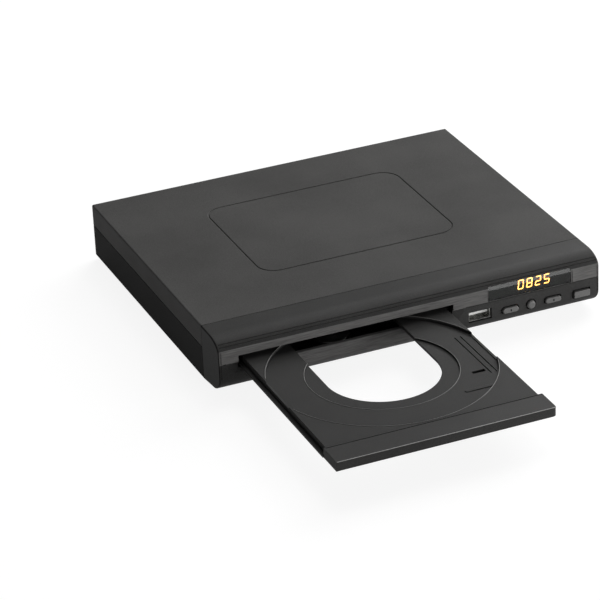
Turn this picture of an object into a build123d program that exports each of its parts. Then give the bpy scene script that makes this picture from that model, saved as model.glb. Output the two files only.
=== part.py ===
from build123d import *
import math
import os

os.makedirs("parts", exist_ok=True)

# Disc player with its tray out. Sizes are in millimetres.
# Every place is given as x from the case's middle, depth behind the face plane,
# and height above the underside of the tub.

# ---------------------------------------------------------------- case
case_width = 225.0
case_depth = 194.0
case_height = 32.3
bezel_depth = 24.0  # how far the front moulding wraps back
parting_height = 19.5  # top edge of the tub's side walls
tub_wall = 2.0
bezel_wall = 2.2
cover_wall = 1.5
seam_gap = 0.4  # gap between two mouldings of the case
tub_edge = 1.2  # rounding along the tub's lower edges
cover_edge = 0.8  # rounding along the cover's upper edges
brow_depth = 12.5  # curved upper part of the bezel, front to back
brow_drop = 6.8
chin_depth = 20.0  # curved lower part of the bezel, front to back
chin_rise = 10.8
end_edge = 0.8  # rounding round the bezel's two ends
front_corner = 5.0  # rounding of the lower corners seen from the front
line_radius = 0.35  # styling grooves
line_heights = (30.0, 28.9)
line_inset = 1.2  # outer grooves' distance from the ends
belt_line = 19.2  # groove between the upper panel and the button strip
panel_width = 118.0  # panel outlined by a groove on the cover
panel_depth = 90.5
panel_front = 65.5
panel_corner = 11.0
panel_groove_width = 1.2
panel_groove_depth = 0.45
panel_groove_slope = 45.0  # degrees

# ---------------------------------------------------------------- feet and case screws
foot_height = 2.0
foot_radius = 6.0
foot_side = 20.0  # centre from the side of the case
foot_front = 36.0  # centre behind the face
foot_rear = 16.0  # centre from the back
foot_taper = 8.0  # degrees
screw_side = 6.2  # case screws' centre from the side
screw_front = 48.0
screw_rear = 12.0
post_radius = 3.0
boss_height = 8.0
screw_radius = 1.3
screw_head_radius = 2.5
screw_head_height = 1.5
screw_clearance = 0.2
screw_bite = 7.0  # thread length inside the cover's post

# ---------------------------------------------------------------- tray
tray_travel = 124.0
tray_inset = 73.8  # middle line of the tray from the left side of the case
tray_width = 118.4
tray_top = 20.5
tray_under = 16.9  # underside of the tray's middle
tray_front = 16.0  # front edge of the tray when it is in, behind the door bar
tray_rear = 145.0  # back edge of the disc area when the tray is in
arm_gap = 2.0  # between the arms' ends and the frame's back wall with the tray in
arm_top = 18.6
disc_recess_radius = 61.0
disc_floor = 18.9
small_recess_radius = 40.75
small_floor = 18.1
cutout_radius = 31.1
runner_bottom = 15.7
runner_thickness = 1.4
runner_reach = 2.2  # how far a runner stands out of the tray's side
tray_side_wall = 2.0
rim_width = 1.0
rim_rise = 0.4
channel_roof = 17.5  # underside of the plate above the tray gear
slot_length = 7.3
slot_width = 2.6
slot_offset = 44.6  # centre of the small slot, right of the tray's middle
slot_depth = -67.5
bar_length = 16.0
bar_width = 2.4
bar_offset = 36.8
bar_depth = -84.0
bar_rise = 0.3
rib_offsets = (49.7, 53.0)
rib_length = 44.0
rib_depth = -50.0  # middle of the two fine grooves
rib_width = 0.8
rib_sink = 0.4

# ---------------------------------------------------------------- tray door and opening
door_width = 122.2
door_bottom = 15.9
door_top = 21.4
door_gap = 0.5
door_corner = 2.0
door_edge = 0.35
opening_side_gap = 1.5  # between the door's end and the opening's side
opening_bottom = 15.3
opening_top = 22.9
scoop_reach = 7.4  # how far the scoop spreads beside the opening
scoop_low_reach = 3.0
scoop_low = 13.1
scoop_depth = 1.5
scoop_pad = 1.8  # extra wall behind the scoop

# ---------------------------------------------------------------- display, buttons, socket
window_inset = 42.3  # window's middle from the right side of the case
window_width = 50.0
window_height = 8.4
window_mid = 23.8
lens_set_back = 0.3  # glass behind the face
lens_thickness = 2.4
lens_slope_height = 2.0  # sloped band along the glass's top edge
lens_slope_depth = 0.7
lens_flange = 1.0
lens_gap = 0.15
panel_line_inset = 16.7
button_mid = 12.1
button_proud = 1.5
button_wall_gap = 0.7
button_flange = 1.0
button_flange_thickness = 0.8
button_back_gap = 0.3
button_travel = 0.6
oval_length = 9.6
oval_height = 3.2
oval_left_inset = 54.6
oval_right_inset = 28.6
round_radius = 2.5
round_inset = 41.9
power_length = 9.6
power_height = 3.9
power_inset = 11.0
power_mid = 11.7
button_edge = 0.6
usb_inset = 72.5
usb_mid = 12.3
usb_width = 13.0
usb_height = 5.6
usb_sheet = 0.35
usb_gap = 0.4
usb_set_back = 1.4  # shell's front end behind the face
usb_tongue_width = 11.0
usb_tongue_height = 1.8
usb_tongue_back = 3.2  # tongue's front end behind the face

# ---------------------------------------------------------------- front board
front_board_depth = 12.0
board_thickness = 1.4
front_board_inset = 6.5
front_board_length = 76.0
front_board_bottom = 4.6
front_board_top = 28.4
front_post_insets = (72.5, 9.5)
front_post_height = 23.5
front_post_radius = 2.4
switch_size = 6.0
switch_body = 3.4
plunger_radius = 1.6
plunger_length = 0.9
stem_radius = 1.4
stem_margin = 0.3  # left between a pressed button's stem and its switch
display_depth = 3.0  # front of the display block behind the face
digit_block_width = 25.0
digit_block_inset = 39.0
digit_block_height = 6.4
receiver_width = 5.0
receiver_height = 6.0
receiver_thickness = 3.0
receiver_inset = 23.5

# ---------------------------------------------------------------- loader frame
frame_wall = 2.0
frame_floor = 1.5
frame_front = 9.0
frame_top = 24.0
runner_gap = 0.3  # above and below the tray's runners
runner_side_gap = 0.6
rail_thickness = 1.5
keeper_thickness = 1.5
keeper_gap = 1.0  # between the closed door bar and the keeper strips
shelf_under = 4.6  # raised floor over the bezel's curved lower part
shelf_rear = 36.0
frame_low_front = 25.0  # from here back the frame stands on the tub
window_half = 43.0  # half width of the opening in the frame's floor
window_front = 45.0
ear_length = 6.4
ear_width = 9.0
ear_depths = (30.0, 140.0)
ear_seat = 4.5  # height of the tub's bosses under the ears
ear_thickness = 1.5
ear_hole = 1.6
ear_boss_radius = 3.0

# ---------------------------------------------------------------- disc clamp
spindle_depth = 79.6  # disc centre when the tray is in
bridge_width = 34.0
bridge_thickness = 1.2
clamp_hole_radius = 13.5
clamp_body_radius = 12.0
clamp_flange_radius = 17.0
clamp_bottom = 21.8
clamp_flange_thickness = 1.4
clamp_rest_gap = 0.3
clamp_pocket_radius = 8.6
clamp_pocket_depth = 1.6
magnet_radius = 6.0
magnet_thickness = 1.6
magnet_gap = 0.1

# ---------------------------------------------------------------- deck
hinge_arm = 80.4  # from the spindle back to the hinge
hinge_height = 12.6
spindle_drop = 4.2  # how far the spindle sinks when the tray is out
deck_thickness = 1.2
deck_half_width = 37.0
deck_nose = 33.1  # deck in front of the spindle
deck_rear = -3.5  # from the hinge line
deck_rear_bar = 6.3  # deck left behind the sled's window
hinge_pin_radius = 1.5
hinge_pin_length = 5.5
hinge_clearance = 0.08
lug_thickness = 4.0
lug_half_depth = 4.0
lug_gap = 0.6
lift_pin_radius = 1.2
lift_pin_length = 7.5
lift_pin_offset = 22.0
motor_radius = 11.0
motor_height = 3.2
shaft_radius = 1.0
shaft_clearance = 0.06
turntable_radius = 13.0
turntable_lift = 4.2  # underside of the turntable above the deck's middle plane
turntable_top = 8.5
turntable_web = 3.2
hub_radius = 7.3
hub_height = 1.4
hub_top_radius = 5.4
pad_width = 3.2
pad_thickness = 0.3
pad_inset = 0.2
sled_window_half = 25.5
sled_end_gap = 0.6  # between the sled and its window's ends
rod_offset = 20.0
rod_lift = 2.4
rod_radius = 1.25
rod_clearance = 0.12
rod_block = 3.4
rod_block_roof = 0.8  # rod block's height over the rod
rod_end_gap = 0.4
sled_half_width = 23.5
sled_lead = 13.0  # from the spindle back to the sled's front end
sled_length = 24.0
sled_bottom = -0.9
sled_top = 4.6
lens_radius = 3.4
lens_rise = 0.9
lens_forward = 9.0  # lens centre behind the sled's front edge
lens_block_half = 7.0
lens_block_rise = 0.7

# ---------------------------------------------------------------- gears
pressure_angle = math.radians(20)
tooth_addendum = 0.8
tooth_dedendum = 1.05
tooth_backlash = 0.16
tray_module = 0.8
rack_offset = 44.0  # pitch line right of the tray's middle
rack_back = 3.2
pinion_teeth = 14
wheel_teeth = 28
small_teeth = 12
gear_depth = 24.0
pinion_bottom = 13.4
pinion_top = 17.2
wheel_bottom = 8.4
wheel_thickness = 2.2
gear_bore = 1.5
bore_clearance = 0.08
gear_hub = 3.0
pulley_bottom = 12.4
pulley_height = 2.6
pulley_radius = 8.4
groove_depth = 1.3
belt_width = 1.2
belt_thickness = 0.9
belt_gap = 0.3
motor_pulley_radius = 3.2
tray_motor_offset = -1.3  # from the tray's middle
tray_motor_depth = 20.5
tray_motor_radius = 10.5
tray_motor_height = 5.9
motor_shaft_radius = 1.0
sled_module = 0.6
sled_rack_offset = 26.0
sled_rack_lead = 13.0  # how far the rack's front end is ahead of the sled
sled_pinion_teeth = 16
sled_wheel_teeth = 20
sled_motor_teeth = 10
sled_gear_lead = 2.4  # gear behind the rack's front end with the sled fully back
sled_layer_bottom = 1.9  # layer of the rack and the small gear
sled_layer_top = 2.7
sled_wheel_bottom = 0.85
sled_wheel_thickness = 0.7
sled_motor_radius = 7.0
sled_motor_height = 3.8
sled_motor_drop = 2.5

# ---------------------------------------------------------------- cam slider
cam_travel = 18.0
cam_lead = 39.0  # cam slider in front of the spindle
cam_thickness = 2.4
cam_bottom_gap = 0.3
cam_top = 15.2
cam_end = 4.5
cam_slot_gap = 0.35
cam_guide_thickness = 1.2
cam_guide_length = 8.0
cam_guide_rise = 2.6
cam_guide_offset = 10.0

# ---------------------------------------------------------------- boards
board_seat = 6.0  # underside of the level boards
board_inset = 11.0
board_width = 67.5
board_front = 60.0
board_rear_gap = 3.0  # from the back of the case
strip_depth = 21.0
strip_length = 58.0
supply_inset = 11.5
supply_width = 71.0
board_boss_radius = 2.6
board_screw_inset = 4.0
chip_height = 1.4
big_chip = 14.0
can_radius = 4.0
can_height = 11.0
transformer_width = 17.0
transformer_depth = 15.0
transformer_height = 15.0
transformer_edge = 1.5
transformer_inset = 2.0  # core beyond the winding at each end
winding_bulge = 1.5  # winding beyond the core, front and back
winding_drop = 3.0  # winding's top below the core's top
supply_gap = 2.0  # between the parts on the power board
heatsink_length = 17.0
heatsink_height = 15.0
heatsink_base = 1.5
heatsink_back = 12.0  # its plate behind the board's front edge
fin_count = 5
fin_depth = 5.0
fin_thickness = 0.9

# ---------------------------------------------------------------- rear panel and sockets
rear_thickness = 1.2
rear_set_in = 0.6
socket_gap = 0.3
hdmi_inset = 68.5
hdmi_width = 15.0
hdmi_height = 5.6
hdmi_length = 12.0
hdmi_shell = 0.4
hdmi_tongue = 1.2
scart_inset = 108.5
scart_width = 47.0
scart_height = 13.0
scart_length = 16.0
scart_shell = 1.2
scart_tongue = 6.0
tongue_side_gap = 1.0  # between a socket's tongue and its shell, beyond one sheet
tongue_root_gap = 0.1
socket_proud = 0.4
jack_insets = (48.5, 34.5, 20.5)
jack_mid = 15.5
jack_radius = 4.15
jack_reach = 8.0  # sleeves beyond the back of the case
jack_core_sink = 1.0  # coloured insulator's end below the sleeve's end
jack_core_root = 4.0
jack_core_radius = 3.0
jack_core_bore = 1.6
jack_core_gap = 0.1
housing_width = 40.0
housing_height = 12.0
housing_depth = 10.0
inlet_inset = 28.5
inlet_mid = 14.0
inlet_width = 25.0
inlet_height = 14.0
inlet_length = 13.0
inlet_flange = 2.0
inlet_well_radius = 3.9
inlet_well_pitch = 6.6
inlet_well_depth = 10.0
pin_radius = 1.2
pin_pitch = 8.6
pin_set_back = 1.5
ribbon_inset = 42.5
ribbon_width = 16.0
ribbon_thickness = 0.4
ribbon_height = 9.6
connector_depth = 4.0
connector_height = 3.0
connector_margin = 1.0  # socket beyond the ribbon at each side
thread_floor = 1.0  # floor left under the tub's screw holes

# ---------------------------------------------------------------- frame of the whole player
# x = 0 is the case's middle, z = 0 the ground under the feet, and y = 0 lies halfway
# between the door bar with the tray out and the ends of the rear jacks.
face_y = (tray_travel - case_depth - jack_reach) / 2
base_z = foot_height
half_width = case_width / 2
deck_angle = math.degrees(math.asin(spindle_drop / hinge_arm))

# ---------------------------------------------------------------- places that follow the case
tray_x = tray_inset - half_width
tray_motor_x = tray_x + tray_motor_offset
inlet_x = inlet_inset - half_width
supply_left = supply_inset - half_width
supply_right = supply_left + supply_width
window_x = half_width - window_inset
panel_line_x = half_width - panel_line_inset
oval_left_x = half_width - oval_left_inset
oval_right_x = half_width - oval_right_inset
round_x = half_width - round_inset
power_x = half_width - power_inset
usb_x = half_width - usb_inset
front_board_right = half_width - front_board_inset
front_board_left = front_board_right - front_board_length
front_post_xs = [half_width - inset for inset in front_post_insets]
receiver_x = half_width - receiver_inset
digit_block_x = half_width - digit_block_inset
board_right = half_width - board_inset
board_left = board_right - board_width
board_rear = case_depth - board_rear_gap
strip_front = board_rear - strip_depth
strip_left = board_left - strip_length
hdmi_x = half_width - hdmi_inset
scart_x = half_width - scart_inset
jack_xs = [half_width - inset for inset in jack_insets]
ribbon_x = half_width - ribbon_inset
hinge_depth = spindle_depth + hinge_arm
frame_rear = hinge_depth + lug_half_depth + frame_wall
window_rear = hinge_depth - lug_half_depth - frame_floor
arm_rear = frame_rear - frame_wall - arm_gap
cam_front = spindle_depth - cam_lead
deck_front = -hinge_arm - deck_nose
sled_front = sled_lead - hinge_arm
sled_travel = deck_rear - deck_rear_bar - sled_end_gap - sled_length - sled_front
sled_gear_y = sled_front + sled_travel - sled_rack_lead + sled_gear_lead


def level(height):
    """Level plane at a height; sketched in x and depth."""
    return Plane(origin=(0, face_y, base_z + height))


def upright(depth):
    """Vertical plane facing forward at a depth; sketched in x and height."""
    return Plane(origin=(0, face_y + depth, base_z), x_dir=(1, 0, 0), z_dir=(0, -1, 0))


def across(x):
    """Vertical plane facing right at x; sketched in depth and height."""
    return Plane(origin=(x, face_y, base_z), x_dir=(0, 1, 0), z_dir=(1, 0, 0))


tilt = math.radians(deck_angle)
deck_level = Plane(
    origin=(0, face_y + hinge_depth, base_z + hinge_height),
    x_dir=(1, 0, 0),
    z_dir=(0, -math.sin(tilt), math.cos(tilt)),
)


def deck_at(lift):
    """Plane of the tilted deck, raised square to it; sketched in x and length from the hinge."""
    return deck_level.offset(lift)


def deck_section(length):
    """Plane square to the deck's length, facing forward; sketched in x and lift."""
    place = deck_level.from_local_coords((0, length, 0))
    return Plane(origin=place, x_dir=(1, 0, 0), z_dir=(0, -math.cos(tilt), -math.sin(tilt)))


def block(plane, x0, x1, y0, y1, rise, mode=Mode.ADD):
    """Block over a rectangle between two corners."""
    with BuildSketch(plane) as outline:
        with Locations(((x0 + x1) / 2, (y0 + y1) / 2)):
            Rectangle(x1 - x0, y1 - y0)
    extrude(outline.sketch, amount=rise, mode=mode)


def round_bar(plane, x, y, radius, rise, mode=Mode.ADD):
    """Cylinder over a circle."""
    with BuildSketch(plane) as outline:
        with Locations((x, y)):
            Circle(radius)
    extrude(outline.sketch, amount=rise, mode=mode)


def tube(plane, x, y, radius, bore, rise):
    """Ring-shaped post with its own bore."""
    with BuildSketch(plane) as outline:
        with Locations((x, y)):
            Circle(radius)
            Circle(bore, mode=Mode.SUBTRACT)
    extrude(outline.sketch, amount=rise)


def oval(plane, x, y, length, height, rise, mode=Mode.ADD):
    """Bar with round ends over an oval of a total length."""
    with BuildSketch(plane) as outline:
        with Locations((x, y)):
            SlotOverall(length, height)
    extrude(outline.sketch, amount=rise, mode=mode)


def involute(angle):
    return math.tan(angle) - angle


def gear_points(teeth, module):
    """Outline of a spur gear with one tooth pointing along x."""
    pitch = module * teeth / 2
    base = pitch * math.cos(pressure_angle)
    tip = pitch + tooth_addendum * module
    root = pitch - tooth_dedendum * module
    thick = math.pi * module / 2 - tooth_backlash
    spread = thick / (2 * pitch) + involute(pressure_angle)
    flank_start = max(base, root)
    flank = []
    flank_steps = 4
    for step in range(flank_steps + 1):
        radius = flank_start + (tip - flank_start) * step / flank_steps
        flank.append((radius, spread - involute(math.acos(min(1, base / radius)))))
    points = []
    for tooth in range(teeth):
        middle = 2 * math.pi * tooth / teeth
        rising = [(root, middle - flank[0][1])] + [(r, middle - a) for r, a in flank]
        falling = [(r, middle + a) for r, a in reversed(flank)] + [(root, middle + flank[0][1])]
        if root >= flank_start:
            rising = rising[1:]
            falling = falling[:-1]
        points += [(r * math.cos(a), r * math.sin(a)) for r, a in rising + falling]
    return points


def gear(plane, x, y, teeth, module, turn, rise):
    """Toothed wheel; turn is the direction of one tooth, in degrees."""
    with BuildSketch(plane) as outline:
        with Locations(Location((x, y), turn)):
            Polygon(*gear_points(teeth, module), align=None)
    extrude(outline.sketch, amount=rise)


def rack(plane, pitch_x, back, mesh_y, start, end, module, rise):
    """Toothed bar along y whose teeth point to +x and leave a gap at mesh_y."""
    pitch = math.pi * module
    half = (pitch / 2 - tooth_backlash) / 2
    tip = pitch_x + tooth_addendum * module
    root = pitch_x - tooth_dedendum * module
    half_tip = half - tooth_addendum * module * math.tan(pressure_angle)
    half_root = half + tooth_dedendum * module * math.tan(pressure_angle)
    first = math.ceil((start + half_root - mesh_y) / pitch - 0.5)
    last = math.floor((end - half_root - mesh_y) / pitch - 0.5)
    points = [(pitch_x - back, start), (root, start)]
    for tooth in range(first, last + 1):
        middle = mesh_y + (tooth + 0.5) * pitch
        points += [(root, middle - half_root), (tip, middle - half_tip)]
        points += [(tip, middle + half_tip), (root, middle + half_root)]
    points += [(root, end), (pitch_x - back, end)]
    with BuildSketch(plane) as outline:
        with BuildLine():
            Polyline(*points, close=True)
        make_face()
    extrude(outline.sketch, amount=rise)


def screw(plane, x, y, shank_length):
    """Pan-head screw whose head sits on the plane and whose shank goes down from it."""
    with BuildSketch(plane) as head:
        with Locations((x, y)):
            Circle(screw_head_radius)
            Rectangle(screw_head_radius, screw_radius / 3, mode=Mode.SUBTRACT)
            Rectangle(screw_radius / 3, screw_head_radius, mode=Mode.SUBTRACT)
    extrude(head.sketch, amount=screw_head_height)
    round_bar(plane, x, y, screw_head_radius, screw_head_height / 2)
    round_bar(plane, x, y, screw_radius, -shank_length)


def finish(piece, name):
    """Name a piece and write it out."""
    piece.part.label = name
    export_step(piece.part, f"parts/{name}.step")


# ---------------------------------------------------------------- tub
case_screw_places = [
    (side * (half_width - screw_side), depth)
    for side in (-1, 1)
    for depth in (screw_front, case_depth - screw_rear)
]
frame_half = tray_width / 2 + runner_reach + runner_side_gap + frame_wall
ear_places = [
    (tray_x + side * (frame_half + ear_length / 2), depth) for side in (-1, 1) for depth in ear_depths
]
board_places = [
    (board_left + board_screw_inset, board_front + board_screw_inset),
    (board_right - board_screw_inset, board_front + board_screw_inset),
    (strip_left + board_screw_inset, strip_front + board_screw_inset),
    (supply_left + board_screw_inset, strip_front + board_screw_inset),
    (supply_right - board_screw_inset, strip_front + board_screw_inset),
]
foot_places = [
    (side * (half_width - foot_side), depth)
    for side in (-1, 1)
    for depth in (foot_front, case_depth - foot_rear)
]
tub_front = bezel_depth + seam_gap
vent_count = 9
vent_pitch = 6.0
vent_length = 26.0
vent_width = 2.0
vent_x = 56.0
vent_depth = 110.0

with BuildPart() as bottom_case:
    block(level(0), -half_width, half_width, tub_front, case_depth, parting_height)
    lower_edges = bottom_case.edges().filter_by(Axis.Y).group_by(Axis.Z)[0]
    fillet(lower_edges, tub_edge)
    block(
        level(tub_wall),
        -half_width + tub_wall,
        half_width - tub_wall,
        tub_front - 1,
        case_depth + 1,
        parting_height,
        Mode.SUBTRACT,
    )
    for x, depth in case_screw_places:
        round_bar(level(tub_wall), x, depth, post_radius, boss_height - tub_wall)
        round_bar(level(0), x, depth, screw_radius + screw_clearance, boss_height, Mode.SUBTRACT)
        head_room = screw_head_height + screw_clearance
        round_bar(level(0), x, depth, screw_head_radius + screw_clearance, head_room, Mode.SUBTRACT)
    hole_radius = screw_radius + screw_clearance / 2
    for x, depth in ear_places:
        round_bar(level(tub_wall), x, depth, ear_boss_radius, ear_seat - tub_wall)
        round_bar(level(thread_floor), x, depth, hole_radius, ear_seat, Mode.SUBTRACT)
    for x, depth in board_places:
        round_bar(level(tub_wall), x, depth, board_boss_radius, board_seat - tub_wall)
        round_bar(level(thread_floor), x, depth, hole_radius, board_seat, Mode.SUBTRACT)
    with BuildSketch(level(0)):
        with Locations((vent_x, vent_depth)):
            with GridLocations(vent_pitch, 1, vent_count, 1):
                SlotOverall(vent_length, vent_width, rotation=90)
    extrude(amount=tub_wall, mode=Mode.SUBTRACT)
finish(bottom_case, "bottom_case")

with BuildPart() as rubber_feet:
    for x, depth in foot_places:
        with BuildSketch(level(-foot_height)):
            with Locations((x, depth)):
                Circle(foot_radius)
        extrude(amount=foot_height, taper=foot_taper)
finish(rubber_feet, "rubber_feet")

# ---------------------------------------------------------------- cover
with BuildPart() as top_cover:
    skirt_bottom = parting_height + seam_gap
    skirt_height = case_height - skirt_bottom
    block(level(skirt_bottom), -half_width, half_width, tub_front, case_depth, skirt_height)
    upper_edges = top_cover.edges().filter_by(Axis.Y).group_by(Axis.Z)[-1]
    fillet(upper_edges, cover_edge)
    block(
        level(skirt_bottom),
        -half_width + cover_wall,
        half_width - cover_wall,
        tub_front - 1,
        case_depth + 1,
        skirt_height - cover_wall,
        Mode.SUBTRACT,
    )
    # groove round the panel: a shallow pocket, then the panel put back inside it
    groove_half = panel_groove_width / 2
    groove_slant = panel_groove_depth * math.tan(math.radians(panel_groove_slope))
    with BuildSketch(level(case_height)):
        with Locations((0, panel_front + panel_depth / 2)):
            RectangleRounded(
                panel_width + panel_groove_width, panel_depth + panel_groove_width,
                panel_corner + groove_half,
            )
    extrude(amount=-panel_groove_depth, taper=panel_groove_slope, mode=Mode.SUBTRACT)
    inset = 2 * groove_slant - panel_groove_width
    with BuildSketch(level(case_height - panel_groove_depth)):
        with Locations((0, panel_front + panel_depth / 2)):
            RectangleRounded(panel_width + inset, panel_depth + inset, panel_corner + inset / 2)
    extrude(amount=panel_groove_depth, taper=panel_groove_slope)
    for x, depth in case_screw_places:
        tube(
            level(boss_height),
            x,
            depth,
            post_radius,
            screw_radius + screw_clearance / 2,
            case_height - cover_wall - boss_height,
        )
finish(top_cover, "top_cover")

with BuildPart() as case_screws:
    for x, depth in case_screw_places:
        head_top = screw_head_height + screw_clearance
        shank = boss_height + screw_bite - head_top
        under = Plane(origin=(0, face_y, base_z + head_top), x_dir=(1, 0, 0), z_dir=(0, 0, -1))
        screw(under, x, -depth, shank)
finish(case_screws, "case_screws")

# ---------------------------------------------------------------- bezel
opening_half = door_width / 2 + opening_side_gap


def bezel_bar(wall, back, half_length, mode=Mode.ADD):
    """Bar with the bezel's side view, drawn in by a wall."""
    top = case_height - wall
    brow_foot = case_height - brow_drop
    with BuildSketch(across(0)) as side_view:
        with BuildLine():
            Line((back, wall), (back, top))
            Line((back, top), (brow_depth, top))
            EllipticalCenterArc(
                (brow_depth, brow_foot), brow_depth - wall, brow_drop - wall, start_angle=90, arc_size=90
            )
            Line((wall, brow_foot), (wall, chin_rise))
            EllipticalCenterArc(
                (chin_depth, chin_rise), chin_depth - wall, chin_rise - wall, start_angle=180, arc_size=90
            )
            Line((chin_depth, wall), (back, wall))
        make_face()
    extrude(side_view.sketch, amount=half_length, both=True, mode=mode)


def corner_view(depth, radius):
    """Outline of the bezel seen from the front, with its lower corners rounded."""
    with BuildSketch(upright(depth)) as front_view:
        with BuildLine():
            Line((-half_width, case_height), (-half_width, radius))
            RadiusArc((-half_width, radius), (radius - half_width, 0), -radius)
            Line((radius - half_width, 0), (half_width - radius, 0))
            RadiusArc((half_width - radius, 0), (half_width, radius), -radius)
            Line((half_width, radius), (half_width, case_height))
            Line((half_width, case_height), (-half_width, case_height))
        make_face()
    return front_view.sketch


def brow_surface(height):
    """Depth of the bezel's face at a height on its curved upper part."""
    rise = (height - (case_height - brow_drop)) / brow_drop
    return brow_depth * (1 - math.sqrt(1 - rise * rise))


hole_grow = 2 * button_wall_gap


def oval_hole(x, height, length, width):
    oval(upright(-1), x, height, length + hole_grow, width + hole_grow, -bezel_depth / 2, Mode.SUBTRACT)


with BuildPart() as front_bezel:
    bezel_bar(0, bezel_depth, half_width)
    end_faces = front_bezel.faces().filter_by(Axis.X)
    fillet(end_faces.edges().filter_by(Axis.Y).group_by(Axis.Z)[-1], end_edge)
    # lower corners: wide rounding at the face, running out into the tub's edge behind
    corner_views = [corner_view(0, front_corner), corner_view(bezel_depth, tub_edge)]
    loft(corner_views, ruled=True, mode=Mode.INTERSECT)
    bezel_bar(bezel_wall, bezel_depth + 1, half_width - bezel_wall, Mode.SUBTRACT)
    # pad behind the scoop under the tray
    pad_half = opening_half + scoop_reach
    block(
        upright(bezel_wall + scoop_pad),
        tray_x - opening_half - 2 * scoop_low_reach,
        tray_x + pad_half,
        scoop_low - bezel_wall,
        belt_line,
        scoop_pad,
    )
    # scoop: wide at the face, as narrow as the opening at its floor
    with BuildSketch(upright(0)) as scoop_mouth:
        with BuildLine():
            Polyline(
                (tray_x - pad_half, belt_line),
                (tray_x + pad_half, belt_line),
                (tray_x + opening_half + scoop_low_reach, scoop_low),
                (tray_x - opening_half - scoop_low_reach, scoop_low),
                close=True,
            )
        make_face()
    with BuildSketch(upright(scoop_depth)) as scoop_floor:
        with BuildLine():
            Polyline(
                (tray_x - opening_half, belt_line),
                (tray_x + opening_half, belt_line),
                (tray_x + opening_half, opening_bottom),
                (tray_x - opening_half, opening_bottom),
                close=True,
            )
        make_face()
    loft([scoop_mouth.sketch, scoop_floor.sketch], ruled=True, mode=Mode.SUBTRACT)
    block(
        upright(-1),
        tray_x - opening_half,
        tray_x + opening_half,
        opening_bottom,
        opening_top,
        -bezel_depth / 2,
        Mode.SUBTRACT,
    )
    # hole for the display window
    block(
        upright(-1),
        window_x - window_width / 2,
        window_x + window_width / 2,
        window_mid - window_height / 2,
        window_mid + window_height / 2,
        -bezel_depth / 2,
        Mode.SUBTRACT,
    )
    # button and socket holes
    oval_hole(oval_left_x, button_mid, oval_length, oval_height)
    oval_hole(oval_right_x, button_mid, oval_length, oval_height)
    hole_radius = round_radius + button_wall_gap
    round_bar(upright(-1), round_x, button_mid, hole_radius, -bezel_depth / 2, Mode.SUBTRACT)
    with BuildSketch(upright(-1)) as power_hole:
        with Locations((power_x, power_mid)):
            RectangleRounded(power_length + hole_grow, power_height + hole_grow, button_edge)
    extrude(power_hole.sketch, amount=-bezel_depth / 2, mode=Mode.SUBTRACT)
    with BuildSketch(upright(-1)) as usb_hole:
        with Locations((usb_x, usb_mid)):
            Rectangle(usb_width + 2 * usb_gap, usb_height + 2 * usb_gap)
    extrude(usb_hole.sketch, amount=-bezel_depth / 2, mode=Mode.SUBTRACT)
    # styling grooves: two along the brow, one on the belt line, one beside the window
    line_half = half_width - line_inset
    for height in line_heights:
        depth = brow_surface(height)
        round_bar(across(-line_half), depth, height, line_radius, 2 * line_half, Mode.SUBTRACT)
    belt_right = tray_x + pad_half
    round_bar(across(belt_right), 0, belt_line, line_radius, line_half - belt_right, Mode.SUBTRACT)
    belt_left = tray_x - pad_half
    round_bar(across(-line_half), 0, belt_line, line_radius, belt_left + line_half, Mode.SUBTRACT)
    upright_line = line_heights[1] - chin_rise
    for x in (-line_half, line_half):
        round_bar(level(chin_rise), x, 0, line_radius, upright_line, Mode.SUBTRACT)
    for x in (window_x - window_width / 2 - line_radius, panel_line_x):
        round_bar(level(belt_line), x, 0, line_radius, line_heights[1] - belt_line, Mode.SUBTRACT)
    # posts for the front board
    for x in front_post_xs:
        tube(
            upright(front_board_depth),
            x,
            front_post_height,
            front_post_radius,
            screw_radius + screw_clearance / 2,
            front_board_depth - bezel_wall,
        )
finish(front_bezel, "front_bezel")

# ---------------------------------------------------------------- display glass and buttons
with BuildPart() as display_lens:
    glass_half = window_width / 2 - lens_gap
    glass_low = window_mid - window_height / 2 + lens_gap
    glass_top = window_mid + window_height / 2 - lens_gap
    block(
        upright(lens_set_back), window_x - glass_half, window_x + glass_half, glass_low, glass_top,
        -lens_thickness,
    )
    # the top edge slopes back with the brow
    top_front = display_lens.edges().filter_by(Axis.X).group_by(Axis.Y)[0].sort_by(Axis.Z)[-1]
    front_side = display_lens.faces().sort_by(Axis.Y)[0]
    chamfer(top_front, lens_slope_height, lens_slope_depth, reference=front_side)
    # a tab at each end holds the glass against the inside of the bezel
    for side in (-1, 1):
        tab_root = window_x + side * (glass_half - 2 * lens_flange)
        near, far = sorted((tab_root, window_x + side * (glass_half + lens_flange)))
        block(
            upright(bezel_wall + lens_gap), near, far, window_mid - window_height / 4,
            window_mid + window_height / 4, -lens_flange,
        )
finish(display_lens, "display_lens")


def chin_inside(height):
    """Depth of the bezel's inner wall at a height on its curved lower part."""
    drop = (chin_rise - height) / (chin_rise - bezel_wall)
    return chin_depth - (chin_depth - bezel_wall) * math.sqrt(1 - drop * drop)


plunger_front = front_board_depth - switch_body - plunger_length
stem_end = plunger_front - button_travel - stem_margin
flange_low = power_mid - power_height / 2 - button_wall_gap - button_flange
flange_front = chin_inside(flange_low) + button_back_gap
flange_back = flange_front + button_flange_thickness


def stem(x, height):
    round_bar(upright(stem_end), x, height, stem_radius, stem_end - flange_back)


def oval_button(x):
    """Oval cap through the bezel, with the flange that holds it in and its stem."""
    oval(upright(flange_back), x, button_mid, oval_length, oval_height, flange_back + button_proud)
    flange = hole_grow + 2 * button_flange
    oval(
        upright(flange_back),
        x,
        button_mid,
        oval_length + flange,
        oval_height + flange,
        button_flange_thickness,
    )
    stem(x, button_mid)


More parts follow.
